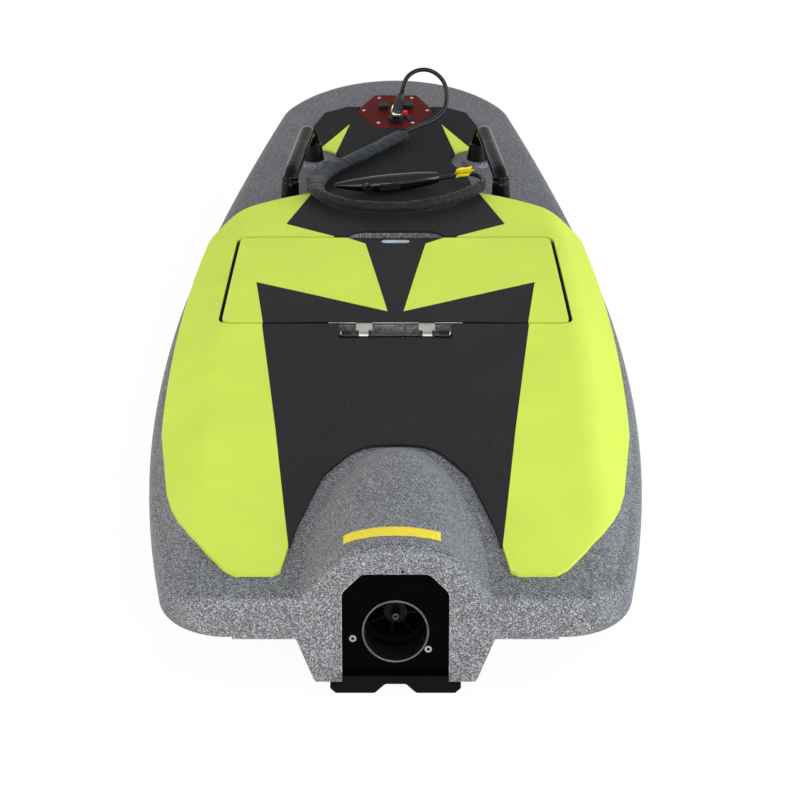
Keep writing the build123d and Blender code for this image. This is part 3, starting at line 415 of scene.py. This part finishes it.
def woven(name, color, gathered, change):
    """Plain weave of a fabric sleeve, paler where the folds rub, and darker once it is gathered."""
    thread = 0.0009
    skin = Finish(name, color, roughness=0.6, sheen_weight=0.08, sheen_roughness=0.45,
                  specular_ior_level=0.25)
    weave = skin.add("ShaderNodeTexBrick", offset=0.5)
    weave.inputs["Scale"].default_value = 1.0
    weave.inputs["Brick Width"].default_value = thread * 2
    weave.inputs["Row Height"].default_value = thread
    weave.inputs["Mortar Size"].default_value = thread * 0.16
    for socket, grey in (("Color1", 0.85), ("Color2", 1.2), ("Mortar", 0.45)):
        weave.inputs[socket].default_value = (grey, grey, grey, 1)
    uv = skin.add("ShaderNodeUVMap", uv_map="weave")
    skin.link(uv.outputs["UV"], weave.inputs["Vector"])
    along = skin.add("ShaderNodeSeparateXYZ")
    skin.link(uv.outputs["UV"], along.inputs[0])
    cloth = skin.mix(color, gathered, skin.span(along.outputs["X"], change - 0.03, change + 0.06))
    rubbed = skin.grain(0.013, detail=4.0, roughness=0.6)
    marks = skin.ramp(rubbed, (0.35, (0.75, 0.75, 0.75)), (0.65, (1.0, 1.0, 1.0)))
    skin.paint(skin.mix(skin.mix(cloth, weave.outputs["Color"], 1.0, "MULTIPLY"), marks, 0.8, "MULTIPLY"))
    skin.bump(weave.outputs["Fac"], -0.00012, 0.6)
    return skin.material


def lead_jacket(look):
    """Soft moulded jacket of the lead."""
    return moulded("lead jacket", look.jacket, roughness=0.3, grain=0.0012, depth=0.00005,
                   specular_ior_level=0.3)


def printed_film(name, color):
    """Blank vinyl film with a faint gloss and a slightly worn face."""
    skin = Finish(name, color, roughness=0.36, specular_ior_level=0.25)
    rubbed = skin.grain(0.009, detail=4.0, roughness=0.65)
    skin.paint(skin.ramp(rubbed, (0.3, tone(color, 0.88)), (0.6, color), (0.8, tone(color, 1.08))))
    skin.gloss(skin.span(rubbed, 0.3, 0.7, 0.28, 0.44))
    skin.bump(skin.grain(0.0016), 0.00003, 0.5)
    return skin.material


# Mesh helpers


def dress(node, material, edge=0.0, segments=2):
    """Gives a packed part its finish and, if asked, eased edges."""
    part = NODES[node]
    part.data.materials.clear()
    part.data.materials.append(material)
    for polygon in part.data.polygons:
        polygon.material_index = 0
    if edge:
        weld = part.modifiers.new("weld", "WELD")
        weld.merge_threshold = 0.00001
        bevel = part.modifiers.new("eased edges", "BEVEL")
        bevel.width = edge
        bevel.segments = segments
        bevel.limit_method = "ANGLE"
        bevel.angle_limit = math.radians(SHARP)
        part.modifiers.new("even normals", "WEIGHTED_NORMAL").keep_sharp = True
    return part


def piece(name, mesh_builder, material, body):
    """A new mesh piece made by mesh_builder(bm) that rides on a body."""
    mesh = bpy.data.meshes.new(name)
    bm = bmesh.new()
    mesh_builder(bm)
    bmesh.ops.recalc_face_normals(bm, faces=bm.faces)
    bm.to_mesh(mesh)
    bm.free()
    made = bpy.data.objects.new(name, mesh)
    bpy.context.scene.collection.objects.link(made)
    made.data.materials.append(material)
    mesh.shade_smooth()
    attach(made, body)
    return made


def bridge(bm, rows, closed=False):
    """Faces between rows with as many corners each, joined all round if closed."""
    faces = []
    for row, following in zip(rows, rows[1:]):
        for k in range(len(row) - (0 if closed else 1)):
            after = (k + 1) % len(row)
            faces.append(bm.faces.new((row[k], row[after], following[after], following[k])))
    return faces


def lathe(bm, profile, base, axis, steps=40):
    """Turned form: profile of (radius, height) pairs along an axis from a base point."""
    turn = Vector(axis).to_track_quat("Z", "Y").to_matrix().to_4x4()
    move = Matrix.Translation(base) @ turn
    rings = []
    for radius, height in profile:
        if radius < 1e-7:
            rings.append([bm.verts.new(move @ Vector((0, 0, height)))])
        else:
            rings.append([bm.verts.new(move @ Vector((radius * math.cos(2 * math.pi * k / steps),
                                                      radius * math.sin(2 * math.pi * k / steps), height)))
                          for k in range(steps)])
    for low, high in zip(rings, rings[1:]):
        for k in range(steps):
            a, b = low[k % len(low)], low[(k + 1) % len(low)]
            c, d = high[(k + 1) % len(high)], high[k % len(high)]
            corners = list(dict.fromkeys((a, b, c, d)))
            if len(corners) > 2:
                bm.faces.new(corners)


def centre_line(curve):
    """Points along a curve object's smooth centreline, with their distances from its start."""
    bare = curve.data.copy()
    bare.bevel_depth = 0
    probe = bpy.data.objects.new("probe", bare)
    mesh = bpy.data.meshes.new_from_object(probe)
    points = [vertex.co.copy() for vertex in mesh.vertices]
    bpy.data.objects.remove(probe)
    bpy.data.meshes.remove(mesh)
    bpy.data.curves.remove(bare)
    run = [0.0]
    for a, b in zip(points, points[1:]):
        run.append(run[-1] + (b - a).length)
    return points, run


def walk(points, run, distance):
    """Point and heading at a distance along a centreline."""
    distance = min(max(distance, 0.0), run[-1])
    index = max(1, next((k for k, value in enumerate(run) if value >= distance), len(run) - 1))
    step = (distance - run[index - 1]) / max(run[index] - run[index - 1], 1e-9)
    here = points[index - 1].lerp(points[index], step)
    return here, (points[index] - points[index - 1]).normalized()


# Operators


class JETBOARD_OT_camera(bpy.types.Operator):
    """Put the camera behind and above the stern, as in the photograph"""

    bl_idname = "jetboard.camera"
    bl_label = "Camera"

    def execute(self, context):
        data = bpy.data.cameras.new("camera")
        data.lens = CAMERA_LENS
        data.sensor_width = 36.0
        data.shift_x = CAMERA_SHIFT
        camera = bpy.data.objects.new("camera", data)
        camera.location = (0.0, STERN - CAMERA_BACK, CAMERA_HEIGHT)
        camera.rotation_euler = (math.radians(90 - CAMERA_DIP), 0, 0)
        context.scene.collection.objects.link(camera)
        context.scene.camera = camera
        return {"FINISHED"}


class JETBOARD_OT_lead(bpy.types.Operator):
    """Lay the lead from the bow plug to the handset, with its sleeve, plug and tag"""

    bl_idname = "jetboard.lead"
    bl_label = "Lead"

    def execute(self, context):
        look = context.scene.jetboard_lead
        data = bpy.data.curves.new("lead", "CURVE")
        data.dimensions = "3D"
        spline = data.splines.new("NURBS")
        spline.points.add(len(LEAD_ROUTE) - 1)
        for point, spot in zip(spline.points, LEAD_ROUTE):
            point.co = (*place(*spot), 1)
        spline.order_u = 3
        spline.use_endpoint_u = True
        spline.resolution_u = 10
        data.bevel_depth = look.radius
        data.bevel_resolution = 5
        data.use_fill_caps = True
        lead = bpy.data.objects.new("lead", data)
        context.scene.collection.objects.link(lead)
        data.materials.append(lead_jacket(look))
        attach(lead, "board")
        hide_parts("cord")
        points, run = centre_line(lead)

        sleeve = self.sleeve(look, points, run)
        plug = self.plug(points)
        tag = self.tag(context.scene.jetboard_fittings, points, run)
        return {"FINISHED"}

    def sleeve(self, look, points, run):
        """Gathered fabric tube round the lead."""
        start, end = look.sleeve_first * run[-1], look.sleeve_last * run[-1]
        rings, sides = 440, 40
        change = 0.09              # run over which the flat band turns into the gathered tube
        hem_run = 0.004            # run over which each end is drawn in
        gap = 0.0014               # least space left round the lead
        sink = 0.0026              # how far the flat band's middle lies under the lead's
        slant = 0.003              # lean of a fold round the tube
        chance = random.Random(7)
        folds, where = [], start + 0.012
        while where < end - 0.01:
            folds.append((where, chance.uniform(0.5, 1.0), chance.uniform(0.0022, 0.0048),
                          chance.uniform(0, 6.3)))
            where += chance.uniform(0.009, 0.030)

        def flatness(distance):
            """1 where the sleeve lies as a flat band, 0 where it is gathered round the lead."""
            left = min(1.0, max(0.0, (start + look.band + change - distance) / change))
            return left * left * (3 - 2 * left)

        def folded(distance, angle, lean):
            """Depth of the folds at a distance, each leaning this far round the tube."""
            return sum(depth * math.exp(-(((distance - spot - lean * math.sin(angle + phase)) / width) ** 2))
                       for spot, depth, width, phase in folds)

        def build(bm):
            up = Vector((0, 0, 1))
            uv = bm.loops.layers.uv.new("weave")
            grid = []
            for ring in range(rings + 1):
                distance = start + (end - start) * ring / rings
                here, heading = walk(points, run, distance)
                side = heading.cross(up)
                side = side.normalized() if side.length > 1e-4 else Vector((1, 0, 0))
                up = side.cross(heading).normalized()
                dent = folded(distance, 0.0, 0.0)
                hem = min(1.0, (distance - start) / hem_run, (end - distance) / hem_run)
                flat = flatness(distance)
                middle = here - up * sink * flat
                seam = 1.9 + 0.35 * noise.noise(Vector((distance * 38, 0, 5)))
                row = []
                for k in range(sides):
                    angle = 2 * math.pi * k / sides
                    across, above = math.cos(angle), math.sin(angle)
                    skew = folded(distance, angle, slant)
                    ripple = noise.noise(Vector((distance * 55, across * 1.6, above * 1.6)))
                    radius = (look.sleeve_radius - look.wrinkle * (0.35 * dent + 0.65 * skew)
                              + look.wrinkle * 0.55 * ripple)
                    crease = (1 - flat) * math.exp(-((angle - seam) / 0.20) ** 2)
                    radius = max(look.radius + gap, (radius - 0.0020 * crease) * (0.72 + 0.28 * hem))
                    wide, tall = radius * (1 + 0.72 * flat), radius * (1 - 0.26 * flat)
                    row.append(bm.verts.new(middle + side * across * wide + up * above * tall))
                grid.append(row)
            for index, face in enumerate(bridge(bm, grid, closed=True)):
                ring, k = divmod(index, sides)
                for loop, (u, v) in zip(face.loops, ((0, 0), (1, 0), (1, 1), (0, 1))):
                    loop[uv].uv = ((ring + v) * (end - start) / rings,
                                   (k + u) * 2 * math.pi * look.sleeve_radius / sides)

        cloth = woven("slate sleeve weave", look.sleeve, look.gathered, look.band)
        made = piece("sleeve", build, cloth, "board")
        made.modifiers.new("thickness", "SOLIDIFY").thickness = 0.0009
        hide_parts("cord_sleeve")
        return made

    def plug(self, points):
        """Ribbed plug boot with a bright lock ring."""
        low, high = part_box("plug")
        top = points[0]
        foot = Vector((low.x + high.x - top.x, low.y + high.y - top.y, low.z + 0.0006))
        axis = top - foot
        tall = axis.length

        def boot(bm):
            profile = [(0.0, 0.0), (0.0074, 0.0), (0.0078, 0.0008), (0.0078, tall * 0.30),
                       (0.0072, tall * 0.32)]
            for rib in range(6):
                level = tall * (0.36 + 0.075 * rib)
                profile += [(0.0077, level), (0.0077, level + 0.0018), (0.0071, level + 0.0024)]
            profile += [(0.0070, tall * 0.86), (0.0056, tall * 0.97), (0.0042, tall), (0.0, tall)]
            lathe(bm, profile, foot, axis)

        black = moulded("plug boot", (0.012, 0.012, 0.013), 0.34)
        made = piece("plug_boot", boot, black, "board")
        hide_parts("plug")
        ring_radius = 0.0092

        def collar(bm):
            lathe(bm, [(0.0079, 0.001), (0.0088, 0.001), (ring_radius, 0.0016), (ring_radius, 0.0068),
                       (0.0088, 0.0075), (0.0079, 0.0075)], foot, axis)
            catch = foot + Vector((-ring_radius, 0, 0.002))
            lathe(bm, [(0.0, 0.0), (0.0012, 0.0004), (0.0018, 0.0014), (0.0018, 0.0186), (0.0012, 0.0196),
                       (0.0, 0.020)], catch, axis, 20)

        ring = piece("plug_lock_ring", collar, metal("plug ring", (0.55, 0.53, 0.50), 0.24), "board")
        ring.parent = made
        return made

    def tag(self, look, points, run):
        """Blank tag folded round the lead near the handset."""
        low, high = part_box("tag")
        middle = (low + high) / 2
        middle.z = low.z + 0.005
        distance = min(range(len(points)), key=lambda k: (points[k] - middle).length)
        here, heading = walk(points, run, run[distance])
        side = heading.cross(Vector((0, 0, 1))).normalized()
        up = side.cross(heading).normalized()

        def build(bm):
            wrap = [math.radians(150 - 300 * step / 14) for step in range(15)]
            round_lead = 0.0052
            outline = [(0.0175, -0.0042), (0.0120, -0.0032), (0.0072, -0.0026)]
            outline += [(-round_lead * math.cos(turn), -round_lead * math.sin(turn)) for turn in wrap]
            outline += [(0.0072, 0.0030), (0.0120, 0.0042), (0.0172, 0.0062)]
            rows = []
            for along in (-0.015, -0.0075, 0.0, 0.0075, 0.015):
                curl = 0.0007 * math.sin(along * 230)
                rows.append([bm.verts.new(here + heading * along + up * (a * 0.72 + b * 0.30 + curl)
                                          + side * (b * 0.85 - a * 0.62)) for a, b in outline])
            bridge(bm, rows)

        made = piece("lead_tag", build, printed_film("tag film", look.label), "board")
        made.modifiers.new("thickness", "SOLIDIFY").thickness = 0.0007
        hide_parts("tag")
        return made


class JETBOARD_OT_hull(bpy.types.Operator):
    """Finish the moulded hull"""

    bl_idname = "jetboard.hull"
    bl_label = "Hull"

    def execute(self, context):
        look = context.scene.jetboard_hull
        skin = speckled_plastic(look)
        dress("hull", skin)
        dress("lid", skin)
        return {"FINISHED"}


class JETBOARD_OT_pads(bpy.types.Operator):
    """Finish the foam deck pads"""

    bl_idname = "jetboard.pads"
    bl_label = "Deck pads"

    def execute(self, context):
        look = context.scene.jetboard_foam
        lime = foam("lime deck foam", look.lime, 0.03)
        black = foam("black deck foam", look.black, look.streaks)
        for node, skin in (("deck_pad_lime", lime), ("foredeck_pad_lime", lime), ("lid_pad_lime", lime),
                           ("deck_pad_black", black), ("lid_pad_black", black)):
            dress(node, skin, look.edge_round)
        return {"FINISHED"}


class JETBOARD_OT_hatch(bpy.types.Operator):
    """Finish the hatch's hinge, latch and seal, and the battery below it"""

    bl_idname = "jetboard.hatch"
    bl_label = "Hatch"

    def execute(self, context):
        look = context.scene.jetboard_fittings
        grey = metal("hinge metal", look.hinge, 0.34, (0.05, 1.0, 1.0))
        dark = moulded("hinge bracket", (0.008, 0.008, 0.009), 0.3, specular_ior_level=0.25)
        dress("hinge_leaf", grey, 0.0005)
        dress("hinge_brackets", dark, 0.0006)
        dress("hinge_pin", metal("hinge pin", (0.09, 0.085, 0.08), 0.4))
        dress("latch", metal("latch plate", (0.50, 0.60, 0.68), 0.32), 0.0006)
        dress("lid_seal", moulded("hatch seal", (0.012, 0.012, 0.013), 0.55))
        dress("battery", moulded("battery case", (0.035, 0.036, 0.040), 0.42, 0.0013, 0.0001), 0.003, 3)
        pin_low, pin_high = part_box("hinge_pin")
        axis = (pin_low + pin_high) / 2
        self.collars(axis)
        self.end_caps(axis)
        return {"FINISHED"}

    def collars(self, axis):
        """Black collars on both ends of each barrel of the hatch's hinge."""
        collar_runs = (0.0342, 0.0395), (0.0535, 0.0578)   # sideways from the board's middle

        def build(bm):
            for across in (-1, 1):
                for near, far in collar_runs:
                    low, high = sorted((across * near, across * far))
                    run = high - low
                    lathe(bm, [(0.0066, 0.0), (0.0070, 0.0), (0.0074, 0.0005), (0.0074, run - 0.0005),
                               (0.0070, run), (0.0066, run)], Vector((low, axis.y, axis.z)), (1, 0, 0), 36)

        black = moulded("hinge collar", (0.010, 0.010, 0.011), 0.35)
        piece("hinge_collars", build, black, "hatch")

    def end_caps(self, axis):
        """Bright domed caps on the outer faces of the hinge brackets."""
        bracket_face = 0.0790      # sideways from the board's middle

        def build(bm):
            for across in (-1, 1):
                base = Vector((across * bracket_face, axis.y, axis.z))
                lathe(bm, [(0.0, 0.0030), (0.0030, 0.0027), (0.0055, 0.0018), (0.0068, 0.0004),
                           (0.0070, -0.0006)], base, (across, 0, 0), 32)

        piece("hinge_end_caps", build, metal("hinge end caps", (0.42, 0.44, 0.48), 0.3), "board")


class JETBOARD_OT_jet(bpy.types.Operator):
    """Finish the pump unit, its plates and the motor"""

    bl_idname = "jetboard.jet"
    bl_label = "Jet unit"

    def execute(self, context):
        look = context.scene.jetboard_jet
        plate = moulded("transom plate black", look.plate, 0.26, specular_ior_level=0.02)
        vanes = moulded("pump casting", look.vanes, 0.26, specular_ior_level=0.12)
        dress("transom_plate", plate)
        dress("ride_plate", moulded("ride plate black", look.plate, 0.28, specular_ior_level=0.10), 0.0006)
        dress("plate_screws", metal("plate screws", (0.42, 0.41, 0.40), 0.3))
        dress("nozzle", metal("outlet ring", look.rim, 0.36), 0.0005)
        dress("pump_duct", vanes)
        dress("stator", vanes)
        dress("impeller", metal("impeller metal", look.blades, 0.3))
        dress("drive_shaft", metal("shaft steel", (0.50, 0.50, 0.50), 0.25))
        dress("intake_grate", vanes, 0.0005)
        dress("motor", moulded("motor case", (0.05, 0.05, 0.055), 0.4), 0.003, 3)
        self.hub_washer(look)
        self.vent()
        return {"FINISHED"}

    def hub_washer(self, look):
        """Bright washer under the head of the hub bolt."""
        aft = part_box("stator")[0].y
        middle = frame["record"]["mounts"][0]["pos_m"]

        def build(bm):
            lathe(bm, [(0.0021, -0.0012), (0.0021, 0.0004), (0.0026, 0.0009), (0.0038, 0.0009),
                       (0.0044, 0.0004), (0.0044, -0.0012)], Vector((0, aft, middle[2])), (0, -1, 0), 36)

        piece("hub_washer", build, metal("hub washer", look.rim, 0.3), "board")

    def vent(self):
        """Small vent over the pump bay."""
        across, height = 0.0087, 0.1608
        start = Vector((across, STERN - 0.2, height))
        found, spot, normal, _ = NODES["hull"].ray_cast(start, Vector((0, 1, 0)))
        if not found:
            raise RuntimeError("The vent lies outside the hull")

        def build(bm):
            lathe(bm, [(0.0, 0.0001), (0.0010, 0.0002), (0.0017, 0.0005), (0.0021, 0.0003),
                       (0.0023, -0.0004)], spot, normal, 24)

        rubber = moulded("vent rubber", (0.006, 0.006, 0.006), 0.5)
        piece("transom_vent", build, rubber, "board")


class JETBOARD_OT_handles(bpy.types.Operator):
    """Finish the two grab handles"""

    bl_idname = "jetboard.handles"
    bl_label = "Grab handles"

    def execute(self, context):
        look = context.scene.jetboard_fittings
        bar = moulded("handle gloss black", look.handle, 0.10, 0.004, 0.00002, specular_ior_level=0.16)
        foot = moulded("handle foot black", look.handle, 0.30, specular_ior_level=0.15)
        for side, across in (("left", -1), ("right", 1)):
            dress("handle_%s_bar" % side, bar)
            dress("handle_%s_feet" % side, foot)
            self.leg_sleeve(side, across, bar)
            self.slim_grip(side, bar)
        return {"FINISHED"}

    def leg_sleeve(self, side, across, material):
        """Thick sleeve on the rear leg, up to the joint ring in the bend."""
        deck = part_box("handle_%s_feet" % side)[0].z * 1000
        foot = place(across * 174, 1301, deck + 7)     # of the rear leg, over its foot plate
        bend, leg = 0.026, 0.030   # radius of the bend, straight run below it
        sides = 40
        profile = [(0.000, 0.0128), (0.002, 0.0146), (0.004, 0.0150), (0.036, 0.0147), (0.0385, 0.0143),
                   (0.0393, 0.0131), (0.0407, 0.0131), (0.0415, 0.0143), (0.0445, 0.0143), (0.0462, 0.0130)]

        def centre(run):
            """Centre and heading at a run up the leg, which turns forward in the bend."""
            turn = max(0.0, run - leg) / bend
            y = bend * (1 - math.cos(turn))
            z = min(run, leg) + bend * math.sin(turn)
            return foot + Vector((0, y, z)), Vector((0, math.sin(turn), math.cos(turn)))

        def build(bm):
            rows = []
            for run, radius in profile:
                middle, heading = centre(run)
                aside = Vector((1, 0, 0))
                ahead = heading.cross(aside)
                rows.append([bm.verts.new(middle + (aside * math.cos(a) + ahead * math.sin(a)) * radius)
                             for a in [2 * math.pi * k / sides for k in range(sides)]])
            bridge(bm, rows, closed=True)

        piece("handle_%s_leg_sleeve" % side, build, material, "board")

    def slim_grip(self, side, material):
        """Close-fitting skin on the handle's level run, in place of the plain grip."""
        grip = "handle_%s_grip" % side
        points = [vertex.co for vertex in NODES[grip].data.vertices]
        end_run = 0.012            # run of each end that gives its middle
        ends = []
        for level in (min(point.y for point in points), max(point.y for point in points)):
            near = [point for point in points if abs(point.y - level) < end_run]
            low = Vector([min(point[k] for point in near) for k in range(3)])
            high = Vector([max(point[k] for point in near) for k in range(3)])
            ends.append((low + high) / 2)
        axis = ends[1] - ends[0]
        tall = axis.length

        def build(bm):
            lathe(bm, [(0.0124, 0.0), (0.0128, 0.0008), (0.0129, 0.003), (0.0129, tall - 0.003),
                       (0.0128, tall - 0.0008), (0.0124, tall)], ends[0], axis, 48)

        made = piece("handle_%s_skin" % side, build, material, "board")
        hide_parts(grip)


class JETBOARD_OT_bow(bpy.types.Operator):
    """Finish the bow plate and what is fixed on it"""

    bl_idname = "jetboard.bow"
    bl_label = "Bow fittings"

    def execute(self, context):
        look = context.scene.jetboard_fittings
        black = moulded("bow fitting black", (0.010, 0.010, 0.011), 0.35, specular_ior_level=0.2)
        dress("bow_plate", anodised("bow plate red", look.plate))
        dress("bow_screws", metal("bow screws", (0.62, 0.60, 0.60), 0.28), 0.0003)
        dress("bow_socket", black)
        dress("bow_caps", black)
        dress("bow_button", moulded("button red", look.button, 0.25))
        dress("bow_strap", moulded("strap black", (0.014, 0.014, 0.015), 0.6, 0.0007, 0.0002))
        return {"FINISHED"}


class JETBOARD_OT_handset(bpy.types.Operator):
    """Finish the hand control"""

    bl_idname = "jetboard.handset"
    bl_label = "Handset"

    def execute(self, context):
        look = context.scene.jetboard_fittings
        dress("handset_body", moulded("handset gloss black", look.handle, 0.14, 0.004, 0.00002,
                                      specular_ior_level=0.45))
        dress("handset_knob", moulded("handset knob", (0.008, 0.008, 0.009), 0.2))
        dress("handset_trigger", moulded("handset trigger", (0.012, 0.012, 0.013), 0.24), 0.0006)
        return {"FINISHED"}


class JETBOARD_OT_label(bpy.types.Operator):
    """Lay the blank label over the crest of the stern hump"""

    bl_idname = "jetboard.label"
    bl_label = "Label"

    middle_x: FloatProperty(name="Middle", description="Sideways place of the label's middle", unit="LENGTH",
                            default=-0.0045, precision=4)
    station: length("Station", "Distance of the label's middle from the transom's foot", 0.066)

    def execute(self, context):
        look = context.scene.jetboard_fittings
        hull = NODES["hull"]
        columns, rows = 48, 10
        lift = 0.0004              # above the hull
        centre = Vector((self.middle_x, STERN + self.station))

        def build(bm):
            grid = []
            for row in range(rows + 1):
                line = []
                for column in range(columns + 1):
                    x = centre.x + look.label_width * (column / columns - 0.5)
                    y = centre.y + look.label_height * (row / rows - 0.5)
                    found, spot, normal, _ = hull.ray_cast(Vector((x, y, 0.4)), Vector((0, 0, -1)))
                    if not found:
                        raise RuntimeError("The label lies outside the hull")
                    line.append(bm.verts.new(spot + normal * lift))
                grid.append(line)
            bridge(bm, grid)

        made = piece("hump_label", build, printed_film("label film", look.label), "board")
        made.modifiers.new("thickness", "SOLIDIFY").thickness = 0.0003
        return {"FINISHED"}


class JETBOARD_OT_stage(bpy.types.Operator):
    """Set the white floor, the soft lamps and the sky"""

    bl_idname = "jetboard.stage"
    bl_label = "Stage"

    def execute(self, context):
        look = context.scene.jetboard_studio
        scene = context.scene
        scene.view_settings.view_transform = "Standard"
        if look.show_floor:
            self.floor(look)
        self.sky(scene, look)
        self.lamp("stern lamp", (0.3, -4.2, 1.5), (0, -0.6, 0.1), 2.6, look.key)
        for across in (-1.3, 1.5):
            self.lamp("strip lamp", (across, -3.4, 1.3), (0, 0.4, 0.2), 0.22, look.strip, tall=1.6)
        warm_side, cool_side = (-2.6, (1.0, 0.98, 0.93), 0.9), (2.6, (0.86, 0.93, 1.0), 2.3)
        for across, tint, factor in (warm_side, cool_side)[:look.lamp_count]:
            self.lamp("side lamp", (across, -0.5, 0.9), (0, -0.2, 0.1), 2.2, look.fill * factor, tint)
        return {"FINISHED"}

    def floor(self, look):
        """White floor that glows for the eye and takes a faint shadow."""
        mesh = bpy.data.meshes.new("floor")
        half, level = 30.0, -0.001
        corners = [(-half, -half, level), (half, -half, level), (half, half, level), (-half, half, level)]
        mesh.from_pydata(corners, [], [(0, 1, 2, 3)])
        floor = bpy.data.objects.new("floor", mesh)
        bpy.context.scene.collection.objects.link(floor)
        paint = Finish("floor white", (0.50, 0.50, 0.50), roughness=0.9)
        glow = paint.add("ShaderNodeEmission", Strength=1.06)
        seen = self.seen(paint, 1 - look.shadow)
        blend = paint.add("ShaderNodeMixShader")
        paint.link(seen, blend.inputs[0])
        paint.link(paint.shader.outputs[0], blend.inputs[1])
        paint.link(glow.outputs[0], blend.inputs[2])
        paint.link(blend.outputs[0], paint.tree.nodes["Material Output"].inputs["Surface"])
        floor.data.materials.append(paint.material)

    def seen(self, paint, amount):
        """The amount where the camera or a reflection looks, and 0 for light."""
        path = paint.add("ShaderNodeLightPath")
        some = paint.sum(path.outputs["Is Camera Ray"], path.outputs["Is Glossy Ray"], "MAXIMUM")
        some = paint.sum(some, path.outputs["Is Transmission Ray"], "MAXIMUM")
        return paint.sum(some, amount, "MULTIPLY")

    def sky(self, scene, look):
        """White backdrop, with light that falls off from the horizon to the zenith."""
        world = bpy.data.worlds.new("sky")
        scene.world = world
        world.use_nodes = True
        tree = world.node_tree
        nodes, links = tree.nodes, tree.links
        backdrop = nodes["Background"]
        backdrop.inputs["Color"].default_value = (1, 1, 1, 1)
        path = nodes.new("ShaderNodeLightPath")
        largest = nodes.new("ShaderNodeMath")
        largest.operation = "MAXIMUM"
        links.new(path.outputs["Is Camera Ray"], largest.inputs[0])
        links.new(path.outputs["Is Transmission Ray"], largest.inputs[1])
        coords, split = nodes.new("ShaderNodeTexCoord"), nodes.new("ShaderNodeSeparateXYZ")
        links.new(coords.outputs["Generated"], split.inputs[0])
        fall = nodes.new("ShaderNodeMapRange")
        fall.inputs["To Min"].default_value = look.horizon
        fall.inputs["To Max"].default_value = look.zenith
        links.new(split.outputs["Z"], fall.inputs["Value"])
        strength = nodes.new("ShaderNodeMapRange")
        links.new(fall.outputs["Result"], strength.inputs["To Min"])
        strength.inputs["To Max"].default_value = 1.0
        links.new(largest.outputs[0], strength.inputs["Value"])
        links.new(strength.outputs["Result"], backdrop.inputs["Strength"])

    def lamp(self, name, spot, target, size, power, tint=(1, 1, 1), tall=None):
        """Soft lamp that faces a target."""
        data = bpy.data.lights.new(name, "AREA")
        data.shape = "RECTANGLE"
        data.size = size
        data.size_y = tall or size
        data.energy = power
        data.color = tint
        lamp = bpy.data.objects.new(name, data)
        lamp.location = spot
        lamp.rotation_euler = (Vector(target) - Vector(spot)).to_track_quat("-Z", "Y").to_euler()
        bpy.context.scene.collection.objects.link(lamp)


class JETBOARD_PT_panel(bpy.types.Panel):
    """Lists the board's pieces and settings in the sidebar"""

    bl_idname = "JETBOARD_PT_panel"
    bl_label = "Jetboard"
    bl_space_type = "VIEW_3D"
    bl_region_type = "UI"
    bl_category = "Jetboard"

    def draw(self, context):
        layout = self.layout
        for operator in OPERATORS:
            layout.operator(operator.bl_idname)
        for name, group in SETTINGS.items():
            box = layout.box()
            box.label(text=group.__doc__)
            for field in group.__annotations__:
                box.prop(getattr(context.scene, name), field)


SETTINGS = {
    "jetboard_hull": HullSettings,
    "jetboard_foam": FoamSettings,
    "jetboard_jet": JetSettings,
    "jetboard_fittings": FittingSettings,
    "jetboard_lead": LeadSettings,
    "jetboard_studio": StudioSettings,
}
OPERATORS = (
    JETBOARD_OT_camera,
    JETBOARD_OT_lead,
    JETBOARD_OT_hull,
    JETBOARD_OT_pads,
    JETBOARD_OT_hatch,
    JETBOARD_OT_jet,
    JETBOARD_OT_handles,
    JETBOARD_OT_bow,
    JETBOARD_OT_handset,
    JETBOARD_OT_label,
    JETBOARD_OT_stage,
)
CLASSES = (*SETTINGS.values(), *OPERATORS, JETBOARD_PT_panel)


def register():
    for cls in CLASSES:
        bpy.utils.register_class(cls)
    for name, group in SETTINGS.items():
        setattr(bpy.types.Scene, name, PointerProperty(type=group))


def unregister():
    for name in SETTINGS:
        delattr(bpy.types.Scene, name)
    for cls in reversed(CLASSES):
        bpy.utils.unregister_class(cls)


def main():
    register()
    for old in list(bpy.data.objects):
        if old.type in ("CAMERA", "LIGHT") or old.name == "Cube":
            bpy.data.objects.remove(old)
    bpy.ops.jetboard.camera()
    bpy.ops.jetboard.lead()
    bpy.ops.jetboard.hull()
    bpy.ops.jetboard.pads()
    bpy.ops.jetboard.hatch()
    bpy.ops.jetboard.jet()
    bpy.ops.jetboard.handles()
    bpy.ops.jetboard.bow()
    bpy.ops.jetboard.handset()
    bpy.ops.jetboard.label()
    bpy.ops.jetboard.stage()


if __name__ == "__main__":
    main()
